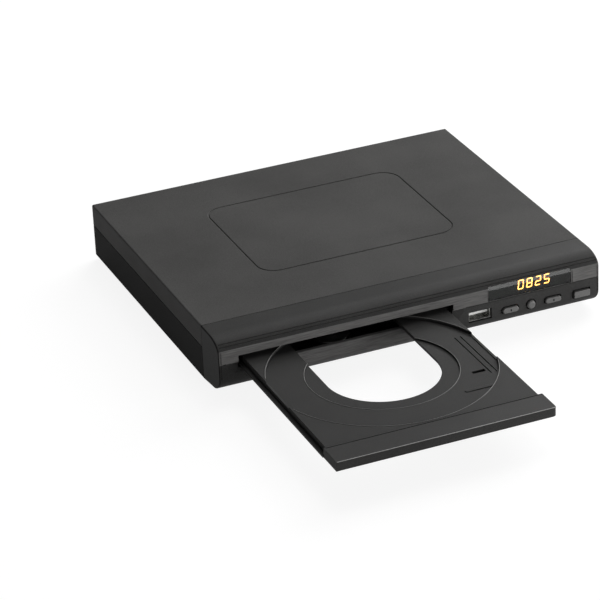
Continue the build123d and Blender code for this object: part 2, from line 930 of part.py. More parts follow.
with BuildPart() as left_button:
    oval_button(oval_left_x)
    front_rim = left_button.faces().sort_by(Axis.Y)[0].edges()
    fillet(front_rim, button_edge)
finish(left_button, "left_oval_button")

with BuildPart() as right_button:
    oval_button(oval_right_x)
    front_rim = right_button.faces().sort_by(Axis.Y)[0].edges()
    fillet(front_rim, button_edge)
finish(right_button, "right_oval_button")

with BuildPart() as round_button:
    round_bar(upright(flange_back), round_x, button_mid, round_radius, flange_back + button_proud)
    round_flange = round_radius + button_wall_gap + button_flange
    round_bar(upright(flange_back), round_x, button_mid, round_flange, button_flange_thickness)
    stem(round_x, button_mid)
    front_rim = round_button.faces().sort_by(Axis.Y)[0].edges()
    fillet(front_rim, 2 * button_edge)
finish(round_button, "round_button")

with BuildPart() as power_button:
    with BuildSketch(upright(flange_back)) as cap:
        with Locations((power_x, power_mid)):
            RectangleRounded(power_length, power_height, button_edge)
    extrude(cap.sketch, amount=flange_back + button_proud)
    with BuildSketch(upright(flange_back)) as flange_outline:
        with Locations((power_x, power_mid)):
            grow = hole_grow + 2 * button_flange
            RectangleRounded(power_length + grow, power_height + grow, button_edge)
    extrude(flange_outline.sketch, amount=button_flange_thickness)
    stem(power_x, button_mid)
    front_rim = power_button.faces().sort_by(Axis.Y)[0].edges()
    fillet(front_rim, button_edge / 2)
finish(power_button, "power_button")

# ---------------------------------------------------------------- USB socket
with BuildPart() as usb_shell:
    usb_length = front_board_depth - usb_set_back
    usb_half_x = usb_width / 2
    usb_half_h = usb_height / 2
    block(
        upright(usb_set_back),
        usb_x - usb_half_x,
        usb_x + usb_half_x,
        usb_mid - usb_half_h,
        usb_mid + usb_half_h,
        -usb_length,
    )
    block(
        upright(usb_set_back),
        usb_x - usb_half_x + usb_sheet,
        usb_x + usb_half_x - usb_sheet,
        usb_mid - usb_half_h + usb_sheet,
        usb_mid + usb_half_h - usb_sheet,
        usb_sheet - usb_length,
        Mode.SUBTRACT,
    )
finish(usb_shell, "usb_shell")

with BuildPart() as usb_tongue:
    root_front = front_board_depth - usb_sheet - usb_tongue_height
    inner_x = usb_half_x - usb_sheet
    inner_h = usb_half_h - usb_sheet
    block(
        upright(root_front),
        usb_x - inner_x,
        usb_x + inner_x,
        usb_mid - inner_h,
        usb_mid + inner_h,
        -usb_tongue_height,
    )
    block(
        upright(root_front),
        usb_x - usb_tongue_width / 2,
        usb_x + usb_tongue_width / 2,
        usb_mid,
        usb_mid + usb_tongue_height,
        root_front - usb_tongue_back,
    )
finish(usb_tongue, "usb_tongue")

# ---------------------------------------------------------------- front board and what it carries
with BuildPart() as front_board:
    block(
        upright(front_board_depth),
        front_board_left,
        front_board_right,
        front_board_bottom,
        front_board_top,
        -board_thickness,
    )
    for x in front_post_xs:
        hole = screw_radius + screw_clearance
        round_bar(upright(front_board_depth), x, front_post_height, hole, -board_thickness, Mode.SUBTRACT)
finish(front_board, "front_board")

with BuildPart() as tact_switches:
    for x in (oval_left_x, round_x, oval_right_x, power_x):
        block(
            upright(front_board_depth),
            x - switch_size / 2,
            x + switch_size / 2,
            button_mid - switch_size / 2,
            button_mid + switch_size / 2,
            switch_body,
        )
        round_bar(
            upright(front_board_depth - switch_body), x, button_mid, plunger_radius, plunger_length
        )
finish(tact_switches, "tact_switches")

with BuildPart() as display_module:
    block(
        upright(front_board_depth),
        digit_block_x - digit_block_width / 2,
        digit_block_x + digit_block_width / 2,
        window_mid - digit_block_height / 2,
        window_mid + digit_block_height / 2,
        front_board_depth - display_depth,
    )
finish(display_module, "display_module")

with BuildPart() as ir_receiver:
    receiver_low = window_mid - receiver_height / 2
    block(
        upright(front_board_depth),
        receiver_x - receiver_width / 2,
        receiver_x + receiver_width / 2,
        receiver_low,
        receiver_low + receiver_height,
        receiver_thickness,
    )
    round_bar(
        upright(front_board_depth - receiver_thickness),
        receiver_x,
        window_mid,
        receiver_width / 3,
        receiver_thickness / 2,
    )
finish(ir_receiver, "ir_receiver")

# ---------------------------------------------------------------- tray
half_tray = tray_width / 2
tray_front_out = tray_front - tray_travel
tray_rear_out = tray_rear - tray_travel
arm_rear_out = arm_rear - tray_travel
disc_depth_out = spindle_depth - tray_travel
runner_half = half_tray + runner_reach
pinion_radius = tray_module * pinion_teeth / 2
gear_x = tray_x + rack_offset + pinion_radius
channel_inner = rack_offset - rack_back
channel_outer = half_tray - tray_side_wall

with BuildPart() as tray:
    block(
        level(tray_under),
        tray_x - half_tray,
        tray_x + half_tray,
        tray_front_out + door_gap,
        tray_rear_out,
        tray_top - tray_under,
    )
    block(
        level(tray_under),
        tray_x - half_tray,
        tray_x + half_tray,
        tray_rear_out,
        arm_rear_out,
        arm_top - tray_under,
    )
    # side walls and the runners that stand out of them
    side_front = tray_front_out + door_gap
    side_height = tray_under - runner_bottom
    for side in (-1, 1):
        near, far = sorted((tray_x + side * channel_outer, tray_x + side * half_tray))
        block(level(runner_bottom), near, far, side_front, arm_rear_out, side_height)
        near, far = sorted((tray_x + side * channel_outer, tray_x + side * runner_half))
        block(level(runner_bottom), near, far, side_front, arm_rear_out, runner_thickness)
        # channel under the plate, where the tray gear runs
        near, far = sorted((tray_x + side * channel_inner, tray_x + side * channel_outer))
        block(
            level(tray_under), near, far, tray_front_out - 1, arm_rear_out + 1, channel_roof - tray_under,
            Mode.SUBTRACT,
        )
    # recesses for the two disc sizes
    round_bar(level(disc_floor), tray_x, disc_depth_out, disc_recess_radius, tray_top, Mode.SUBTRACT)
    round_bar(level(small_floor), tray_x, disc_depth_out, small_recess_radius, tray_top, Mode.SUBTRACT)
    # the rim left beside the recess
    rim_half_length = math.sqrt(disc_recess_radius**2 - half_tray**2)
    for side in (-1, 1):
        near, far = sorted((tray_x + side * (half_tray - rim_width), tray_x + side * half_tray))
        block(
            level(disc_floor),
            near,
            far,
            disc_depth_out - rim_half_length - rim_width,
            disc_depth_out + rim_half_length + rim_width,
            rim_rise,
        )
    # opening for the spindle and pickup, round in front and open behind
    round_bar(level(0), tray_x, disc_depth_out, cutout_radius, tray_top * 2, Mode.SUBTRACT)
    block(
        level(0),
        tray_x - cutout_radius,
        tray_x + cutout_radius,
        disc_depth_out,
        arm_rear_out + 1,
        tray_top * 2,
        Mode.SUBTRACT,
    )
    # small slot, raised bar and two fine grooves beside the disc
    block(
        level(channel_roof),
        tray_x + slot_offset - slot_length / 2,
        tray_x + slot_offset + slot_length / 2,
        slot_depth - slot_width / 2,
        slot_depth + slot_width / 2,
        tray_top,
        Mode.SUBTRACT,
    )
    oval(level(disc_floor), tray_x + bar_offset, bar_depth, bar_length, bar_width, bar_rise)
    for offset in rib_offsets:
        block(
            level(disc_floor - rib_sink),
            tray_x + offset - rib_width / 2,
            tray_x + offset + rib_width / 2,
            rib_depth - rib_length / 2,
            rib_depth + rib_length / 2,
            tray_top,
            Mode.SUBTRACT,
        )
    rack(
        level(runner_bottom),
        tray_x + rack_offset,
        rack_back,
        gear_depth,
        tray_front_out + door_gap + 1,
        arm_rear_out,
        tray_module,
        channel_roof - runner_bottom,
    )
finish(tray, "tray")

with BuildPart() as tray_door:
    door_half = door_width / 2
    block(
        level(door_bottom),
        tray_x - door_half,
        tray_x + door_half,
        -tray_travel,
        tray_front_out,
        door_top - door_bottom,
    )
    front_right = tray_door.edges().filter_by(Axis.Z).group_by(Axis.Y)[0].sort_by(Axis.X)[-1]
    fillet(front_right, door_corner)
    front_face = tray_door.faces().sort_by(Axis.Y)[0]
    chamfer(front_face.edges().filter_by(Axis.X), door_edge)
finish(tray_door, "tray_door")

# ---------------------------------------------------------------- loader frame
frame_inner = frame_half - frame_wall
frame_deck_top = tub_wall + frame_floor
rail_top = runner_bottom - runner_gap
keeper_bottom = runner_bottom + runner_thickness + runner_gap
rail_width = runner_reach + runner_side_gap
lug_inner = deck_half_width + lug_gap
gear_post = gear_bore - bore_clearance
pulley_x = gear_x - tray_module * (wheel_teeth + small_teeth) / 2
cam_low = frame_deck_top + cam_bottom_gap
cam_back = cam_front + cam_thickness
lift_length = hinge_depth - cam_front - cam_thickness / 2
pin_low = hinge_height - lift_length * math.sin(tilt)
pin_xs = (tray_x - lift_pin_offset, tray_x + lift_pin_offset)
slot_half = lift_pin_radius + cam_slot_gap
cam_left = pin_xs[0] - cam_travel - slot_half - cam_end
cam_right = pin_xs[1] + slot_half + cam_end

with BuildPart() as loader_frame:
    left, right = tray_x - frame_half, tray_x + frame_half
    block(level(tub_wall), left, right, frame_front, frame_rear, frame_top - tub_wall)
    block(
        level(frame_deck_top),
        left + frame_wall,
        right - frame_wall,
        frame_front + frame_wall,
        frame_rear - frame_wall,
        frame_top,
        Mode.SUBTRACT,
    )
    # open front for the tray, and a raised shelf there for the gears
    block(
        level(0),
        left + frame_wall,
        right - frame_wall,
        frame_front - 1,
        frame_front + frame_wall + 1,
        frame_top * 2,
        Mode.SUBTRACT,
    )
    block(level(0), left - 1, right + 1, frame_front - 1, frame_low_front, shelf_under, Mode.SUBTRACT)
    block(level(shelf_under), left, right, frame_front, shelf_rear, frame_floor)
    # opening under the deck
    block(
        level(0),
        tray_x - window_half,
        tray_x + window_half,
        window_front,
        window_rear,
        frame_top,
        Mode.SUBTRACT,
    )
    for side in (-1, 1):
        # rail under the tray's runner and keeper strip over it
        near, far = sorted((tray_x + side * (frame_inner - rail_width), tray_x + side * frame_inner))
        block(level(rail_top - rail_thickness), near, far, frame_front, frame_rear, rail_thickness)
        near, far = sorted((tray_x + side * (half_tray + runner_side_gap), tray_x + side * frame_inner))
        keeper_front = tray_front + keeper_gap
        block(level(keeper_bottom), near, far, keeper_front, frame_rear, keeper_thickness)
        # lug with the bearing of the deck's hinge pin
        near, far = sorted((tray_x + side * lug_inner, tray_x + side * (lug_inner + lug_thickness)))
        block(
            level(tub_wall),
            near,
            far,
            hinge_depth - lug_half_depth,
            hinge_depth + lug_half_depth,
            hinge_height + hinge_pin_radius + 1 - tub_wall,
        )
        hole = hinge_pin_radius + hinge_clearance
        round_bar(across(near - 1), hinge_depth, hinge_height, hole, lug_thickness + 2, Mode.SUBTRACT)
        # ribs that guide the cam slider, in front of it and behind it
        guide_x = tray_x + side * cam_guide_offset - cam_guide_length / 2
        for depth in (cam_front - runner_gap - cam_guide_thickness, cam_back + runner_gap):
            block(
                level(frame_deck_top - 0.5),
                guide_x,
                guide_x + cam_guide_length,
                depth,
                depth + cam_guide_thickness,
                cam_guide_rise + 0.5,
            )
    # posts that carry the tray gear and the pulley gear
    hub_rise = wheel_bottom - runner_gap - shelf_under
    for x, post_top in ((gear_x, pinion_top), (pulley_x, pulley_bottom + pulley_height)):
        round_bar(level(shelf_under), x, gear_depth, gear_hub, hub_rise)
        round_bar(level(shelf_under), x, gear_depth, gear_post, post_top - shelf_under)
    # ears with their screw holes
    for x, depth in ear_places:
        block(
            level(ear_seat),
            x - ear_length / 2,
            x + ear_length / 2,
            depth - ear_width / 2,
            depth + ear_width / 2,
            ear_thickness,
        )
        round_bar(level(ear_seat - 1), x, depth, ear_hole, ear_thickness + 2, Mode.SUBTRACT)
finish(loader_frame, "loader_frame")

with BuildPart() as loader_screws:
    for x, depth in ear_places:
        screw(level(ear_seat + ear_thickness), x, depth, ear_thickness + ear_seat - tub_wall)
finish(loader_screws, "loader_screws")

# ---------------------------------------------------------------- disc clamp over the tray
with BuildPart() as clamp_bridge:
    block(
        level(frame_top),
        tray_x - frame_half,
        tray_x + frame_half,
        spindle_depth - bridge_width / 2,
        spindle_depth + bridge_width / 2,
        bridge_thickness,
    )
    fillet(clamp_bridge.edges().filter_by(Axis.Z), frame_wall)
    round_bar(level(0), tray_x, spindle_depth, clamp_hole_radius, case_height, Mode.SUBTRACT)
finish(clamp_bridge, "clamp_bridge")

clamp_seat = frame_top + bridge_thickness + clamp_rest_gap
with BuildPart() as clamp_puck:
    round_bar(level(clamp_bottom), tray_x, spindle_depth, clamp_body_radius, clamp_seat - clamp_bottom)
    round_bar(level(clamp_seat), tray_x, spindle_depth, clamp_flange_radius, clamp_flange_thickness)
    round_bar(
        level(clamp_bottom), tray_x, spindle_depth, clamp_pocket_radius, clamp_pocket_depth, Mode.SUBTRACT
    )
    magnet_seat = clamp_seat + clamp_flange_thickness - magnet_thickness
    round_bar(
        level(magnet_seat), tray_x, spindle_depth, magnet_radius + magnet_gap, case_height, Mode.SUBTRACT
    )
finish(clamp_puck, "clamp_puck")

with BuildPart() as clamp_magnet:
    round_bar(level(magnet_seat), tray_x, spindle_depth, magnet_radius, magnet_thickness)
finish(clamp_magnet, "clamp_magnet")

# ---------------------------------------------------------------- deck with the spindle
sled_window_front = sled_front - sled_end_gap
sled_window_rear = sled_front + sled_length + sled_travel + sled_end_gap
deck_under = -deck_thickness / 2
deck_over = deck_thickness / 2
spindle_y = spindle_depth - hinge_depth
sled_gear_x = tray_x + sled_rack_offset + sled_module * sled_pinion_teeth / 2
sled_gear_distance = sled_module * (sled_wheel_teeth + sled_motor_teeth) / 2
sled_motor_x = sled_gear_x
sled_motor_y = sled_gear_y - sled_gear_distance

with BuildPart() as deck:
    block(
        deck_at(deck_under),
        tray_x - deck_half_width,
        tray_x + deck_half_width,
        deck_front,
        deck_rear,
        deck_thickness,
    )
    # opening for the laser sled
    block(
        deck_at(-deck_thickness),
        tray_x - sled_window_half,
        tray_x + sled_window_half,
        sled_window_front,
        sled_window_rear,
        2 * deck_thickness,
        Mode.SUBTRACT,
    )
    # ears and pins at the hinge
    for side in (-1, 1):
        lug_side = deck_half_width - lug_thickness
        near, far = sorted((tray_x + side * lug_side, tray_x + side * deck_half_width))
        block(deck_at(deck_under), near, far, deck_rear - 1, hinge_pin_radius, deck_thickness)
        round_bar(across(near), hinge_depth, hinge_height, hinge_pin_radius, lug_thickness)
        near, far = sorted(
            (tray_x + side * deck_half_width, tray_x + side * (deck_half_width + hinge_pin_length - 1))
        )
        round_bar(across(near), hinge_depth, hinge_height, hinge_pin_radius, hinge_pin_length - 1)
    # lifting pins at the front
    for x in pin_xs:
        round_bar(deck_section(deck_front + 1), x, 0, lift_pin_radius, lift_pin_length + 1)
    # blocks that hold the guide rods
    for x in (tray_x - rod_offset, tray_x + rod_offset):
        for front in (sled_window_front - rod_block, sled_window_rear):
            block(
                deck_at(deck_under),
                x - rod_block / 2,
                x + rod_block / 2,
                front,
                front + rod_block,
                rod_lift + rod_radius + rod_block_roof - deck_under,
            )
            hole = rod_radius + rod_clearance / 2
            round_bar(deck_section(front - 1), x, rod_lift, hole, -rod_block - 2, Mode.SUBTRACT)
    # arbor of the sled gear, and pillars down to the sled motor
    arbor = gear_bore - bore_clearance
    round_bar(deck_at(0), sled_gear_x, sled_gear_y, arbor, sled_layer_top)
    round_bar(
        deck_at(-deck_thickness), sled_motor_x, sled_motor_y, 2 * motor_shaft_radius, 2 * deck_thickness,
        Mode.SUBTRACT,
    )
    for side in (-1, 1):
        round_bar(
            deck_at(-sled_motor_drop),
            sled_motor_x + motor_shaft_radius,
            sled_motor_y + side * (sled_motor_radius - 2 * motor_shaft_radius),
            lift_pin_radius,
            sled_motor_drop,
        )
finish(deck, "deck")

with BuildPart() as guide_rods:
    rod_front = sled_window_front - rod_block + rod_end_gap
    rod_length = sled_window_rear + rod_block - rod_end_gap - rod_front
    for x in (tray_x - rod_offset, tray_x + rod_offset):
        round_bar(deck_section(rod_front), x, rod_lift, rod_radius, -rod_length)
finish(guide_rods, "guide_rods")

with BuildPart() as spindle_motor:
    round_bar(deck_at(deck_over), tray_x, spindle_y, motor_radius, motor_height)
    round_bar(deck_at(deck_over), tray_x, spindle_y, shaft_radius, turntable_top - deck_over)
finish(spindle_motor, "spindle_motor")

with BuildPart() as turntable:
    round_bar(deck_at(turntable_lift), tray_x, spindle_y, turntable_radius, turntable_web)
    hub_base = turntable_lift + turntable_web
    round_bar(deck_at(turntable_lift), tray_x, spindle_y, hub_radius, turntable_top - turntable_lift)
    with BuildSketch(deck_at(turntable_top)) as hub_foot:
        with Locations((tray_x, spindle_y)):
            Circle(hub_radius)
    with BuildSketch(deck_at(turntable_top + hub_height)) as hub_tip:
        with Locations((tray_x, spindle_y)):
            Circle(hub_top_radius)
    loft([hub_foot.sketch, hub_tip.sketch])
    bore = shaft_radius + shaft_clearance
    bore_length = turntable_top + shaft_clearance - turntable_lift + 1
    round_bar(deck_at(turntable_lift - 1), tray_x, spindle_y, bore, bore_length, Mode.SUBTRACT)
finish(turntable, "turntable")

with BuildPart() as turntable_pad:
    pad_outer = turntable_radius - pad_inset
    tube(deck_at(hub_base), tray_x, spindle_y, pad_outer, pad_outer - pad_width, pad_thickness)
finish(turntable_pad, "turntable_pad")

# ---------------------------------------------------------------- laser sled
with BuildPart() as laser_sled:
    block(
        deck_at(sled_bottom),
        tray_x - sled_half_width,
        tray_x + sled_half_width,
        sled_front,
        sled_front + sled_length,
        sled_top - sled_bottom,
    )
    for x in (tray_x - rod_offset, tray_x + rod_offset):
        hole = rod_radius + rod_clearance
        round_bar(deck_section(sled_front - 1), x, rod_lift, hole, -sled_length - 2, Mode.SUBTRACT)
    # raised block round the lens, and the pocket that the lens sits in
    lens_y = sled_front + lens_forward
    block(
        deck_at(sled_top),
        tray_x - lens_block_half,
        tray_x + lens_block_half,
        lens_y - lens_block_half,
        lens_y + lens_block_half,
        lens_block_rise,
    )
    pocket_floor = sled_top - lens_rise
    round_bar(
        deck_at(pocket_floor), tray_x, lens_y, lens_radius + magnet_gap, sled_top, Mode.SUBTRACT
    )
    rack(
        deck_at(sled_layer_bottom),
        tray_x + sled_rack_offset,
        sled_rack_offset - sled_half_width + 1,
        sled_gear_y,
        sled_front - sled_rack_lead,
        sled_front + sled_length,
        sled_module,
        sled_layer_top - sled_layer_bottom,
    )
finish(laser_sled, "laser_sled")

with BuildPart() as pickup_lens:
    round_bar(deck_at(pocket_floor), tray_x, lens_y, lens_radius, lens_rise + lens_block_rise)
    dome = pickup_lens.edges().sort_by(Axis.Z)[-1]
    fillet(dome, lens_rise)
finish(pickup_lens, "pickup_lens")

with BuildPart() as sled_gear:
    gear(
        deck_at(sled_layer_bottom), sled_gear_x, sled_gear_y, sled_pinion_teeth, sled_module, 180,
        sled_layer_top - sled_layer_bottom,
    )
    gear(
        deck_at(sled_wheel_bottom), sled_gear_x, sled_gear_y, sled_wheel_teeth, sled_module, -90,
        sled_wheel_thickness,
    )
    sleeve = sled_layer_top - sled_wheel_bottom
    round_bar(deck_at(sled_wheel_bottom), sled_gear_x, sled_gear_y, gear_hub, sleeve)
    round_bar(
        deck_at(sled_wheel_bottom - 1), sled_gear_x, sled_gear_y, gear_bore, 2 * sleeve + 1, Mode.SUBTRACT
    )
finish(sled_gear, "sled_gear")

with BuildPart() as sled_motor:
    round_bar(
        deck_at(-sled_motor_drop), sled_motor_x, sled_motor_y, sled_motor_radius, -sled_motor_height
    )
    shaft_length = sled_wheel_bottom + sled_wheel_thickness + sled_motor_drop
    round_bar(deck_at(-sled_motor_drop), sled_motor_x, sled_motor_y, motor_shaft_radius, shaft_length)
finish(sled_motor, "sled_motor")

with BuildPart() as sled_motor_pinion:
    half_tooth = 180 / sled_motor_teeth
    gear(
        deck_at(sled_wheel_bottom), sled_motor_x, sled_motor_y, sled_motor_teeth, sled_module,
        90 + half_tooth, sled_wheel_thickness,
    )
    bore = motor_shaft_radius + shaft_clearance
    round_bar(
        deck_at(sled_wheel_bottom - 1), sled_motor_x, sled_motor_y, bore, 2 + sled_wheel_thickness,
        Mode.SUBTRACT,
    )
finish(sled_motor_pinion, "sled_motor_pinion")

# ---------------------------------------------------------------- tray drive
with BuildPart() as tray_gear:
    gear(level(wheel_bottom), gear_x, gear_depth, wheel_teeth, tray_module, 180, wheel_thickness)
    gear(
        level(pinion_bottom), gear_x, gear_depth, pinion_teeth, tray_module, 180,
        pinion_top - pinion_bottom,
    )
    round_bar(level(wheel_bottom), gear_x, gear_depth, gear_hub, pinion_top - wheel_bottom)
    round_bar(level(0), gear_x, gear_depth, gear_bore, case_height, Mode.SUBTRACT)
finish(tray_gear, "tray_gear")

with BuildPart() as pulley_gear:
    half_tooth = 180 / small_teeth
    gear(level(wheel_bottom), pulley_x, gear_depth, small_teeth, tray_module, half_tooth, wheel_thickness)
    round_bar(level(wheel_bottom), pulley_x, gear_depth, gear_hub, pulley_bottom - wheel_bottom)
    round_bar(level(pulley_bottom), pulley_x, gear_depth, pulley_radius, pulley_height)
    groove_bottom = pulley_bottom + (pulley_height - belt_width) / 2 - belt_gap
    groove_height = belt_width + 2 * belt_gap
    with BuildSketch(level(groove_bottom)) as groove:
        with Locations((pulley_x, gear_depth)):
            Circle(pulley_radius + 1)
            Circle(pulley_radius - groove_depth, mode=Mode.SUBTRACT)
    extrude(groove.sketch, amount=groove_height, mode=Mode.SUBTRACT)
    round_bar(level(0), pulley_x, gear_depth, gear_bore, case_height, Mode.SUBTRACT)
finish(pulley_gear, "pulley_gear")

shelf_top = shelf_under + frame_floor
with BuildPart() as tray_motor:
    round_bar(level(shelf_top), tray_motor_x, tray_motor_depth, tray_motor_radius, tray_motor_height)
    can_top = tray_motor.faces().sort_by(Axis.Z)[-1].edges()
    fillet(can_top, motor_shaft_radius)
    round_bar(
        level(shelf_top), tray_motor_x, tray_motor_depth, motor_shaft_radius,
        pulley_bottom + pulley_height - shelf_top,
    )
finish(tray_motor, "tray_motor")

with BuildPart() as motor_pulley:
    round_bar(level(pulley_bottom), tray_motor_x, tray_motor_depth, motor_pulley_radius, pulley_height)
    with BuildSketch(level(groove_bottom)) as groove:
        with Locations((tray_motor_x, tray_motor_depth)):
            Circle(motor_pulley_radius + 1)
            Circle(motor_pulley_radius - groove_depth, mode=Mode.SUBTRACT)
    extrude(groove.sketch, amount=groove_height, mode=Mode.SUBTRACT)
    bore = motor_shaft_radius + shaft_clearance
    round_bar(level(0), tray_motor_x, tray_motor_depth, bore, case_height, Mode.SUBTRACT)
finish(motor_pulley, "motor_pulley")


def belt_loop(thickness):
    """Outline round both pulleys at a distance over the bottom of their grooves."""
    with BuildSketch(level(groove_bottom + belt_gap)) as loop:
        with Locations((pulley_x, gear_depth)):
            Circle(pulley_radius - groove_depth + thickness)
        with Locations((tray_motor_x, tray_motor_depth)):
            Circle(motor_pulley_radius - groove_depth + thickness)
        make_hull()
    return loop.sketch


with BuildPart() as drive_belt:
    extrude(belt_loop(belt_gap + belt_thickness), amount=belt_width)
    extrude(belt_loop(belt_gap), amount=belt_width, mode=Mode.SUBTRACT)
finish(drive_belt, "drive_belt")

# ---------------------------------------------------------------- cam slider that lifts the deck
cam_rise = hinge_height - pin_low
cam_slope = math.degrees(math.atan2(cam_rise, cam_travel))
cam_reach = math.hypot(cam_rise, cam_travel)
with BuildPart() as cam_slider:
    block(upright(cam_back), cam_left, cam_right, cam_low, cam_top, cam_thickness)
    for x in pin_xs:
        with BuildSketch(upright(cam_back)) as cam_slot:
            with Locations((x - cam_travel / 2, (pin_low + hinge_height) / 2)):
                SlotCenterToCenter(cam_reach, 2 * slot_half, rotation=-cam_slope)
        extrude(cam_slot.sketch, amount=cam_thickness, mode=Mode.SUBTRACT)
finish(cam_slider, "cam_slider")

# ---------------------------------------------------------------- level boards
with BuildPart() as main_board:
    block(level(board_seat), board_left, board_right, board_front, board_rear, board_thickness)
    block(level(board_seat), strip_left, board_left, strip_front, board_rear, board_thickness)
    for x, depth in board_places[:3]:
        hole = screw_radius + screw_clearance
        round_bar(level(board_seat), x, depth, hole, board_thickness, Mode.SUBTRACT)
finish(main_board, "main_board")

with BuildPart() as power_board:
    block(level(board_seat), supply_left, supply_right, strip_front, board_rear, board_thickness)
    for x, depth in board_places[3:]:
        hole = screw_radius + screw_clearance
        round_bar(level(board_seat), x, depth, hole, board_thickness, Mode.SUBTRACT)
finish(power_board, "power_board")

board_top = board_seat + board_thickness
with BuildPart() as board_screws:
    for x, depth in board_places:
        screw(level(board_top), x, depth, board_top - tub_wall)
    for x in front_post_xs:
        screw_seat = upright(front_board_depth + board_thickness)
        into_board = Plane(origin=screw_seat.origin, x_dir=(1, 0, 0), z_dir=(0, 1, 0))
        screw(into_board, x, -front_post_height, front_board_depth - bezel_wall)
finish(board_screws, "board_screws")

chip_left = (board_left + board_right) / 2 - big_chip
with BuildPart() as board_chips:
    chip_front = board_front + 2 * big_chip
    block(level(board_top), chip_left, chip_left + big_chip, chip_front, chip_front + big_chip, chip_height)
    memory_left = chip_left + 1.4 * big_chip
    block(
        level(board_top), memory_left, memory_left + big_chip / 2, chip_front, chip_front + big_chip,
        chip_height,
    )
    driver_depth = chip_front + 2 * big_chip
    block(
        level(board_top), chip_left, chip_left + big_chip, driver_depth, driver_depth + big_chip / 2,
        chip_height,
    )
finish(board_chips, "board_chips")

can_places = [
    (chip_left + big_chip * 2.4, board_front + big_chip),
    (chip_left + big_chip * 2.4, board_front + big_chip * 2),
    (chip_left - big_chip * 0.6, board_front + big_chip * 5),
    (supply_left + 3 * can_radius, strip_front + can_radius + 1),
    (supply_left + 5.4 * can_radius, strip_front + can_radius + 1),
]
with BuildPart() as capacitors:
    for x, depth in can_places:
        round_bar(level(board_top), x, depth, can_radius, can_height)
finish(capacitors, "capacitors")

with BuildPart() as transformer:
    core_left = inlet_x + inlet_width / 2 + supply_gap
    core_front = strip_front + supply_gap
    block(
        level(board_top), core_left, core_left + transformer_width, core_front,
        core_front + transformer_depth, transformer_height,
    )
    fillet(transformer.edges().filter_by(Axis.Z), transformer_edge)
    with BuildSketch(level(board_top)) as winding:
        with Locations((core_left + transformer_width / 2, core_front + transformer_depth / 2)):
            Rectangle(transformer_width - 2 * transformer_inset, transformer_depth + 2 * winding_bulge)
    extrude(winding.sketch, amount=transformer_height - winding_drop)
finish(transformer, "transformer")

with BuildPart() as heatsink:
    sink_left = supply_right - heatsink_length - heatsink_base
    sink_front = strip_front + heatsink_back
    block(
        level(board_top), sink_left, sink_left + heatsink_length, sink_front, sink_front + heatsink_base,
        heatsink_height,
    )
    fin_pitch = (heatsink_length - fin_thickness) / (fin_count - 1)
    for fin in range(fin_count):
        fin_left = sink_left + fin * fin_pitch
        block(
            level(board_top), fin_left, fin_left + fin_thickness, sink_front - fin_depth, sink_front,
            heatsink_height,
        )
finish(heatsink, "heatsink")

# ---------------------------------------------------------------- ribbon between the boards
ribbon_left = ribbon_x - ribbon_width / 2
board_back = front_board_depth + board_thickness
ribbon_low = ribbon_height - connector_height / 2
socket_front = board_front + connector_margin
with BuildPart() as ribbon_sockets:
    block(
        upright(board_back), ribbon_left - connector_margin,
        ribbon_left + ribbon_width + connector_margin, ribbon_low,
        ribbon_low + connector_height, -connector_depth,
    )
    block(
        level(board_top), ribbon_left - connector_margin, ribbon_left + ribbon_width + connector_margin,
        socket_front, socket_front + connector_depth, connector_height + ribbon_low - board_top,
    )
finish(ribbon_sockets, "ribbon_sockets")

with BuildPart() as front_ribbon:
    ribbon_front = board_back + connector_depth
    block(
        level(ribbon_height - ribbon_thickness / 2), ribbon_left, ribbon_left + ribbon_width, ribbon_front,
        socket_front, ribbon_thickness,
    )
finish(front_ribbon, "front_ribbon")

# ---------------------------------------------------------------- rear panel and its sockets
rear_back = case_depth - rear_set_in
rear_front = rear_back - rear_thickness
hdmi_mid = board_top + hdmi_height / 2
scart_mid = board_top + scart_height / 2
with BuildPart() as rear_panel:
    block(
        upright(rear_back),
        -half_width + tub_wall + seam_gap,
        half_width - tub_wall - seam_gap,
        tub_wall,
        case_height - cover_wall - seam_gap,
        rear_thickness,
    )
    for x, height, width, tall in (
        (hdmi_x, hdmi_mid, hdmi_width, hdmi_height),
        (scart_x, scart_mid, scart_width, scart_height),
        (inlet_x, inlet_mid, inlet_width - 2 * inlet_flange, inlet_height - 2 * inlet_flange),
    ):
        with BuildSketch(upright(rear_back)) as hole:
            with Locations((x, height)):
                Rectangle(width + 2 * socket_gap, tall + 2 * socket_gap)
        extrude(hole.sketch, amount=rear_thickness, mode=Mode.SUBTRACT)
    for x in jack_xs:
        round_bar(
            upright(rear_back), x, jack_mid, jack_radius + socket_gap, rear_thickness, Mode.SUBTRACT
        )
finish(rear_panel, "rear_panel")


def shell_socket(x, middle, width, height, length, sheet, tongue):
    """Metal socket open to the back, with the insulating tongue inside it."""
    back = case_depth + socket_proud
    block(
        upright(back), x - width / 2, x + width / 2, middle - height / 2, middle + height / 2, length
    )
    block(
        upright(back), x - width / 2 + sheet, x + width / 2 - sheet, middle - height / 2 + sheet,
        middle + height / 2 - sheet, length - sheet, Mode.SUBTRACT,
    )
    tongue_half = width / 2 - 2 * sheet - tongue_side_gap
    block(
        upright(back - 2 * sheet), x - tongue_half, x + tongue_half, middle - tongue / 2,
        middle + tongue / 2, length - 2 * sheet - tongue_root_gap,
    )


with BuildPart() as hdmi_socket:
    shell_socket(hdmi_x, hdmi_mid, hdmi_width, hdmi_height, hdmi_length, hdmi_shell, hdmi_tongue)
finish(hdmi_socket, "hdmi_socket")

with BuildPart() as scart_socket:
    shell_socket(
        scart_x, scart_mid, scart_width, scart_height, scart_length, scart_shell, scart_tongue
    )
finish(scart_socket, "scart_socket")

